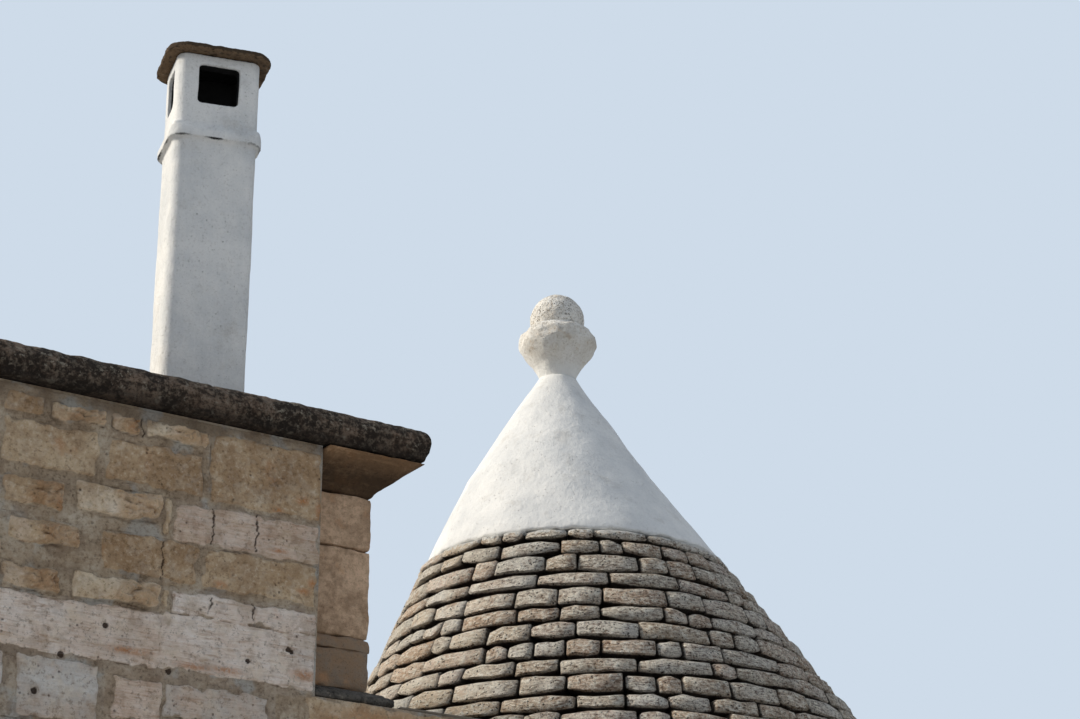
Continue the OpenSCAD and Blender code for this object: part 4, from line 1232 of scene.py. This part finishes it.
def stone_face(x, z, stone, tone, near_rim):
    """How far a stone's face stands out of the wall by its sort, how much painted shade lies in its slit and
    creases, and how golden it is there.
    """
    at = Vector((x, z, tone * 20))
    rough = noise.noise(at * 18) * 0.0032 + noise.noise(at * 48) * 0.0026 + (tone - 0.5) * 0.005
    if stone[4] == HONEY:
        return 0.0125 + rough, 0.0, 0.0
    if stone[4] in (ROSY, PALE):
        return 0.0140 + rough * 0.7, 0.0, 0.0
    if stone[4] == BAND:
        return 0.0105 + rough * 1.2 + waver(x * 7, z * 90, tone * 9) * 0.0018, 0.0, 0.0
    warp = noise.noise_vector(at * 10) * 0.22
    across = (x - stone[0]) / (stone[1] - stone[0]) + warp.x
    along = (z - stone[2]) / (stone[3] - stone[2]) + warp.y
    rock = soft_step(across, 0.30, 0.55) * soft_step(along, 1.02, 0.74) * soft_step(near_rim, -0.002, 0.012)
    fold = noise.noise_vector(at * 34) * 0.16
    slit = math.hypot((across - 0.50 - 0.25 * tone + fold.x) / 0.15, (along - 0.52 + fold.y) / 0.13)
    slit = max(0.0, 1 - slit)
    lump = lumps_at(x, z, tone * 31, LUMP_WIDE)
    lumps = lump * 0.020 + lumps_at(x, z, tone * 17, LUMPLET_WIDE) * 0.009
    bulge = max(0.0, 1 - ((across - 0.55) / 0.5) ** 2) * max(0.0, 1 - ((along - 0.45) / 0.6) ** 2)
    lift = 0.0140 + rough * 1.6 + rock * (0.004 + lumps) + bulge * 0.010 - slit * 0.016
    # Painted shade in the slit and in the creases between the lumps.
    crease = max(0.0, 0.40 - lump) * rock
    return lift, max(slit * 0.50, crease * 0.8), rock * (1 - slit)


def crack_groove(x, z, crack_x):
    """1 in the middle of a crack that wanders about an upright line, 0 beside it."""
    wander = waver(crack_x * 9, z * 24, 0) * 0.014 + waver(crack_x * 7, z * 90, 0) * 0.006
    wide = 0.0068 + 0.006 * waver(3 + crack_x, z * 46, 0)
    return max(0.0, 1 - abs(x - crack_x + wander) / max(0.002, wide))


def open_bed(x, z, level):
    """1 where the mortar of a bed joint has fallen out, 0 beside it."""
    below = z - level + waver(x * 6, level * 9, 0) * 0.012 + waver(x * 40, level, 3) * 0.004
    return max(0.0, 1 - abs(below) / 0.0055) * soft_step(waver(x * 5, level * 7, 5), -0.15, 0.25)


def relief_point(x, z, right_end):
    """Height of the wall's face at a point, with tone, kind, edge, dark and rust for its finish; dark is
    painted shade in hollows and under bosses, and a darker band under the coping.
    """
    at = Vector((x, z, 2.0))
    shift = noise.noise_vector(at * 9) * 0.012 + noise.noise_vector(at * 27) * 0.0065
    near = [k for k, (left, right, foot, head, _) in enumerate(SEEN)
            if left - NEARBY < x < right + NEARBY and foot - NEARBY < z < head + NEARBY]
    depths = [(depth_in_stone(x + shift.x, z + shift.y, SEEN[k]), k) for k in near]
    depth, best = max(depths, default=(-NEARBY, None))
    mortar = 0.0050 + noise.noise(at * 11) * 0.0034 + noise.noise(at * 40) * 0.0024
    share, height, tone, kind, dark, golden = 0.0, mortar, 0.5, 0.2, 0.0, 0.0
    if best is not None:
        smeared = noise.noise(at * 13 + Vector((5, 0, 0))) * 0.020 + noise.noise(at * 37) * 0.007
        share = soft_step(depth - max(0.0, smeared), -0.001, 0.008)
        foot, sort = SEEN[best][2], SEEN[best][4]
        tone, kind = TONES[best], KIND_OF_SORT[sort]
        face, dark, golden = stone_face(x, z, SEEN[best], tone, depth)
        height, dark = mortar * (1 - share) + face * share, dark * share
        if sort == BOSS:
            tone, kind = tone + 0.16 * (1 - golden), kind * (1 - golden * 0.7)
            # Painted shadow: a soft dark band just under the lower edge of a boss.
            under = max(0.0, 1 - abs(depth + 0.003) / 0.013) if z < foot + 0.020 else 0.0
            dark = max(dark, 0.50 * under * soft_step(noise.noise(at * 12), -0.3, 0.2))
    # A shallow groove where a stone's rim parts from the mortar, painted dark as shade.
    parted = soft_step(noise.noise(at * 8 + Vector((0, 7, 0))), 0.02, 0.30)
    parted *= max(0.0, 1 - abs(depth - 0.001) / 0.005)
    height -= 0.0050 * parted
    # Darker in a band just under the coping.
    dark_under_coping = soft_step(z + noise.noise(at * 7) * 0.05, RELIEF_HEAD - 0.11, RELIEF_HEAD - 0.01)
    dark = max(dark, 0.50 * parted, 0.42 * dark_under_coping)
    # Open bed joints, cracks and holes are sunk into the face and painted dark as shade.
    for level in PARAPET_LEVELS[1:] if x > -1.6 else ():
        bed = open_bed(x, z, level) * (1 - share)
        height, dark = height - 0.005 * bed, max(dark, 0.50 * bed)
    for crack_x, low, high in CRACKS:
        if low < z < high:
            groove = crack_groove(x, z, crack_x)
            height, dark = height - 0.006 * groove, max(dark, groove * 0.85)
    for hole_x, hole_z, r in HOLES:
        gap = math.hypot(x - hole_x, (z - hole_z)) / r
        if gap < 1.6:
            hole = soft_step(gap + noise.noise(at * 60) * 0.5, 1.25, 0.6)
            height, dark = height - 0.012 * hole, max(dark, hole)
    stain = max(max(0.0, 1 - math.hypot((x - a) / c, (z - b) / d)) for a, b, c, d in STAINS) + golden * 0.24
    if right_end and z > WALL_TOP:
        height -= 0.006 * max(0.0, 1 - (right_end - x) / 0.012)
    return max(0.0012, height), (tone, kind, 1 - share, dark, stain)


# %% [markdown]
# A sheet is a grid whose points are moved to their place on the wall and then out by the
# height. Its rim is drawn back into the wall, and a last face closes it behind. The part
# that the camera sees best has its columns closer together.

# %% Front relief
RELIEF_VALUES = ("tone", "kind", "edge", "dark", "rust")
COARSE_SHARE, BEHIND_FACE = 0.3, 0.002


def relief(bm, x_low, x_high, z_high, columns, rows, fine_from=None, right_end=None):
    """Adds one sheet of the relief, with sides and a back; columns are closer right of fine_from."""
    layers = [bm.verts.layers.float[name] for name in RELIEF_VALUES]
    before = set(bm.verts)
    bmesh.ops.create_grid(bm, x_segments=columns, y_segments=rows, size=0.5)
    for v in [v for v in bm.verts if v not in before]:
        u, w = v.co.x + 0.5, v.co.y + 0.5
        x = x_low + u * (x_high - x_low)
        if fine_from is not None:
            if u < COARSE_SHARE:
                x = x_low + u / COARSE_SHARE * (fine_from - x_low)
            else:
                x = fine_from + (u - COARSE_SHARE) / (1 - COARSE_SHARE) * (x_high - fine_from)
        z = RELIEF_FOOT + w * (z_high - RELIEF_FOOT)
        height, values = relief_point(x, z, right_end)
        v.co = spot(x, -height, z)
        for layer, value in zip(layers, values):
            v[layer] = value
    rim = [e for e in bm.edges if e.is_boundary and e.verts[0] not in before]
    made = bmesh.ops.extrude_edge_only(bm, edges=rim)["geom"]
    for v in [g for g in made if isinstance(g, bmesh.types.BMVert)]:
        v.co.y = PLAN_CORNER.y + BEHIND_FACE
    bmesh.ops.holes_fill(bm, edges=[e for e in bm.edges if e.is_boundary], sides=0)


bm = bmesh.new()
for layer in RELIEF_VALUES:
    bm.verts.layers.float.new(layer)
relief(bm, -2.93, -0.27, RELIEF_HEAD, 400, 198, -1.56, -0.27)
relief(bm, -0.27, 0.30, WALL_TOP - 0.002, 120, 40)
relief(bm, -ROOM_W, -2.93, WALL_TOP - 0.002, 24, 20)
bmesh.ops.recalc_face_normals(bm, faces=bm.faces)
settle(bm, "front_relief", "wall_limestone", sharp=50)

# %% [markdown]
# ## The other sides of the parapet
# These faces are laid in blocks, with the same rows and the same sorts of stone: pinkish
# flat ones, rough bosses and plain ones.

# %% Back, left and right of the parapet
BESIDE_PIER = 0.275
PARAPET_LENGTHS = (0.26, 0.50)


def parapet_look(tone, other):
    if other > 0.5:
        return tone * 0.4 + 0.4, 0.9, 0.008, 0.010, 0.003, 0.002
    if tone > 0.55:
        return tone, 0.1, 0.020, 0.016, 0.006, 0.008
    return tone * 0.8 + 0.2, 0.1, 0.007, 0.011, 0.003, 0.001


stones = Stones(BLOCK_CUTS)
blocks = fill_courses(BESIDE_PIER, ROOM_W - BESIDE_PIER, PARAPET_LEVELS + [3.645], PARAPET_LENGTHS, [], dice)
lay_wall(stones, blocks, (0, DEPTH), "back", dice, look=parapet_look)
levels = PARAPET_LEVELS[:-1] + [3.518]
blocks = fill_courses(BESIDE_PIER, DEPTH - BESIDE_PIER, levels, PARAPET_LENGTHS, [], dice)
lay_wall(stones, blocks, (-ROOM_W, DEPTH), "left", dice, look=parapet_look)
lay_wall(stones, blocks, (0, 0), "right", dice, look=parapet_look)
stones.settle("parapet_stones_sides", "wall_limestone")

# %% [markdown]
# ## Corner piers
# Each pier is a stack of large stones that stands a hand's width behind the wall's face.
# The photograph shows three: a cube at the top, a tall block below it and a low one on the
# sloping slab, with a thin ledge of grey mortar between the last two. The ledge grows wider
# towards its foot.

# %% Corner piers
PIER_CUTS = (16, 9, 18)
pier_low, pier_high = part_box("corner_piers")
PIER_W, PIER_DEEP, PIER_BACK = 0.27, 0.17, 0.10
PIER_LEVELS = (pier_low.z, 2.938, 2.984, 3.322, pier_high.z)
LEDGE_FLARE = 0.07


def pier_stone(stones, x, y, low, high, dice):
    ledge = high - low < 0.06
    size = Vector((PIER_W - 0.006, PIER_DEEP - 0.006, high - low + (0.004 if ledge else -0.001)))
    middle = Vector((x, y, (low + high) / 2))

    def place(p):
        grow = 1 + LEDGE_FLARE * (0.5 - p.z / size.z) if ledge else 1
        return spot(*(middle + Vector((p.x * grow, p.y * grow, p.z))))

    stones.lay(size, 0.010, place, dice.uniform(0.1, 0.9), 1.0 if high < 3.0 else 0.0, crown=0.0,
               wear=0.008 if ledge else 0.0065, fine=11.0)


stones = Stones(PIER_CUTS)
for x in (-ROOM_W + PIER_W / 2, -PIER_W / 2):
    for y in (PIER_BACK + PIER_DEEP / 2, DEPTH - PIER_BACK - PIER_DEEP / 2):
        for low, high in zip(PIER_LEVELS, PIER_LEVELS[1:]):
            pier_stone(stones, x, y, low, high, dice)
stones.settle("pier_stones", "pier_stone", ["corner_piers"])

# %% [markdown]
# ## Dressed stones of the doorway
# The jambs are built of large stones, and the arch of eleven wedges. A wedge is made from
# one radial face that the spin operator turns through its share of the half circle, and a
# bevel rounds its edges.

# %% Doorway
SURROUND, STAND_OUT = 0.16, 0.02
OPENING_HALF = DOOR_HALF - SURROUND
DOOR_DEEP = arch_high.y - arch_low.y
WEDGES, WEDGE_JOINT = 11, 0.004

stones = Stones((4, 6, 4))
for side in (-1, 1):
    levels = course_levels(0.0, DOOR_SPRING, 0.34, dice)
    for low, high in zip(levels, levels[1:]):
        middle = spot(DOOR_MIDDLE + side * (OPENING_HALF + SURROUND / 2), DOOR_DEEP / 2 - STAND_OUT,
                      (low + high) / 2)
        stones.lay(Vector((SURROUND - 0.002, DOOR_DEEP, high - low - 0.006)), 0.010, lambda p: middle + p,
                   dice.uniform(0, 1), crown=0.0, wear=0.003, fine=7.0)
stones.settle("jamb_stones", "dressed_stone", ["door_jambs"])


def wedge_stone(k):
    """One stone of the arch, as a mesh."""
    share, gap = math.pi / WEDGES, WEDGE_JOINT / DOOR_HALF
    part = bmesh.new()
    near, far = -STAND_OUT, DOOR_DEEP - STAND_OUT
    corners = ((OPENING_HALF, near), (DOOR_HALF, near), (DOOR_HALF, far), (OPENING_HALF, far))
    face = part.faces.new([part.verts.new((r, y, 0)) for r, y in corners])
    bmesh.ops.spin(part, geom=[face] + list(face.verts) + list(face.edges), cent=(0, 0, 0), axis=(0, -1, 0),
                   angle=share - gap, steps=4, use_merge=False)
    bmesh.ops.recalc_face_normals(part, faces=part.faces)
    sharp = [e for e in part.edges if len(e.link_faces) == 2 and e.calc_face_angle() > math.radians(40)]
    bmesh.ops.bevel(part, geom=sharp, offset=0.008, offset_type="OFFSET", segments=2, profile=0.5,
                    affect="EDGES", material=-1)
    turned = Matrix.Rotation(-(k * share + gap / 2), 3, "Y")
    bmesh.ops.rotate(part, verts=part.verts, cent=(0, 0, 0), matrix=turned)
    for v in part.verts:
        v.co += noise.noise_vector(v.co * 8) * 0.003
        v.co = spot(v.co.x + DOOR_MIDDLE, v.co.y, v.co.z + DOOR_SPRING)
    wedge = bpy.data.meshes.new("wedge")
    part.to_mesh(wedge)
    part.free()
    return wedge


bm = bmesh.new()
for k in range(WEDGES):
    bm.from_mesh(wedge_stone(k))
settle(bm, "arch_stones", "dressed_stone", ["door_arch"], 45)

# %% [markdown]
# ## Paving of the roofs
# Both flat roofs are paved with slabs. They are thin blocks laid flat: the same pattern
# block, turned so that its face looks up. A slab whose middle lies well inside the cone's
# foot is skipped, because the first ring of stones covers that place.

# %% Roof paving
SLAB_T, SLAB_ROW, SLAB_LENGTHS = 0.012, 0.42, (0.35, 0.70)
BESIDE_PARAPET = 0.285


def pave(name, x_low, x_high, y_low, y_high, level, dice, skip_within=0.0):
    """Paves a rectangle row by row, but not within that distance of the cone's middle."""
    stones = Stones(BLOCK_CUTS)
    y = y_low
    while y < y_high - 0.02:
        wide = min(SLAB_ROW * dice.uniform(0.8, 1.15), y_high - y)
        if y_high - y - wide < 0.15:
            wide = y_high - y
        for a, b, c, d in fill_courses(x_low, x_high, [y, y + wide], SLAB_LENGTHS, [], dice):
            middle = Vector(((a + b) / 2, (c + d) / 2, level + SLAB_T / 2 - 0.001))
            if math.hypot(middle.x - CONE_MIDDLE[0], middle.y - CONE_MIDDLE[1]) < skip_within:
                continue
            stones.lay((b - a - BLOCK_JOINT, SLAB_T, d - c - BLOCK_JOINT), 0.005,
                       lambda p: spot(middle.x + p.x, middle.y - p.z, middle.z + p.y), dice.uniform(0, 1),
                       crown=0.001, wear=0.0015, fine=6.0)
        y += wide
    stones.settle(name, "paving_stone")


pave("roof_paving_slabs", -ROOM_W + BESIDE_PARAPET, -BESIDE_PARAPET, BESIDE_PARAPET, DEPTH - BESIDE_PARAPET,
     ROOF_TOP, dice)
pave("cell_paving_slabs", 0.075, CELL_W + 0.005, -0.005, DEPTH + 0.005, WALL_TOP, dice, CONE_FOOT_R - 0.25)

# %% [markdown]
# ## Floor of the studio
# A pale plain floor carries the house and throws a little light back up. It is not part of
# the object.

# %% Studio floor
bm = bmesh.new()
bmesh.ops.create_grid(bm, x_segments=1, y_segments=1, size=60.0)
ground = bpy.data.meshes.new("studio_floor")
bm.to_mesh(ground)
bm.free()
Finish("studio_floor").close((206, 208, 210), 0.9, gloss=0.5)
ground.materials.append(FINISHES["studio_floor"])
studio_floor = put("studio_floor", ground)
print("studio floor", ground.name)
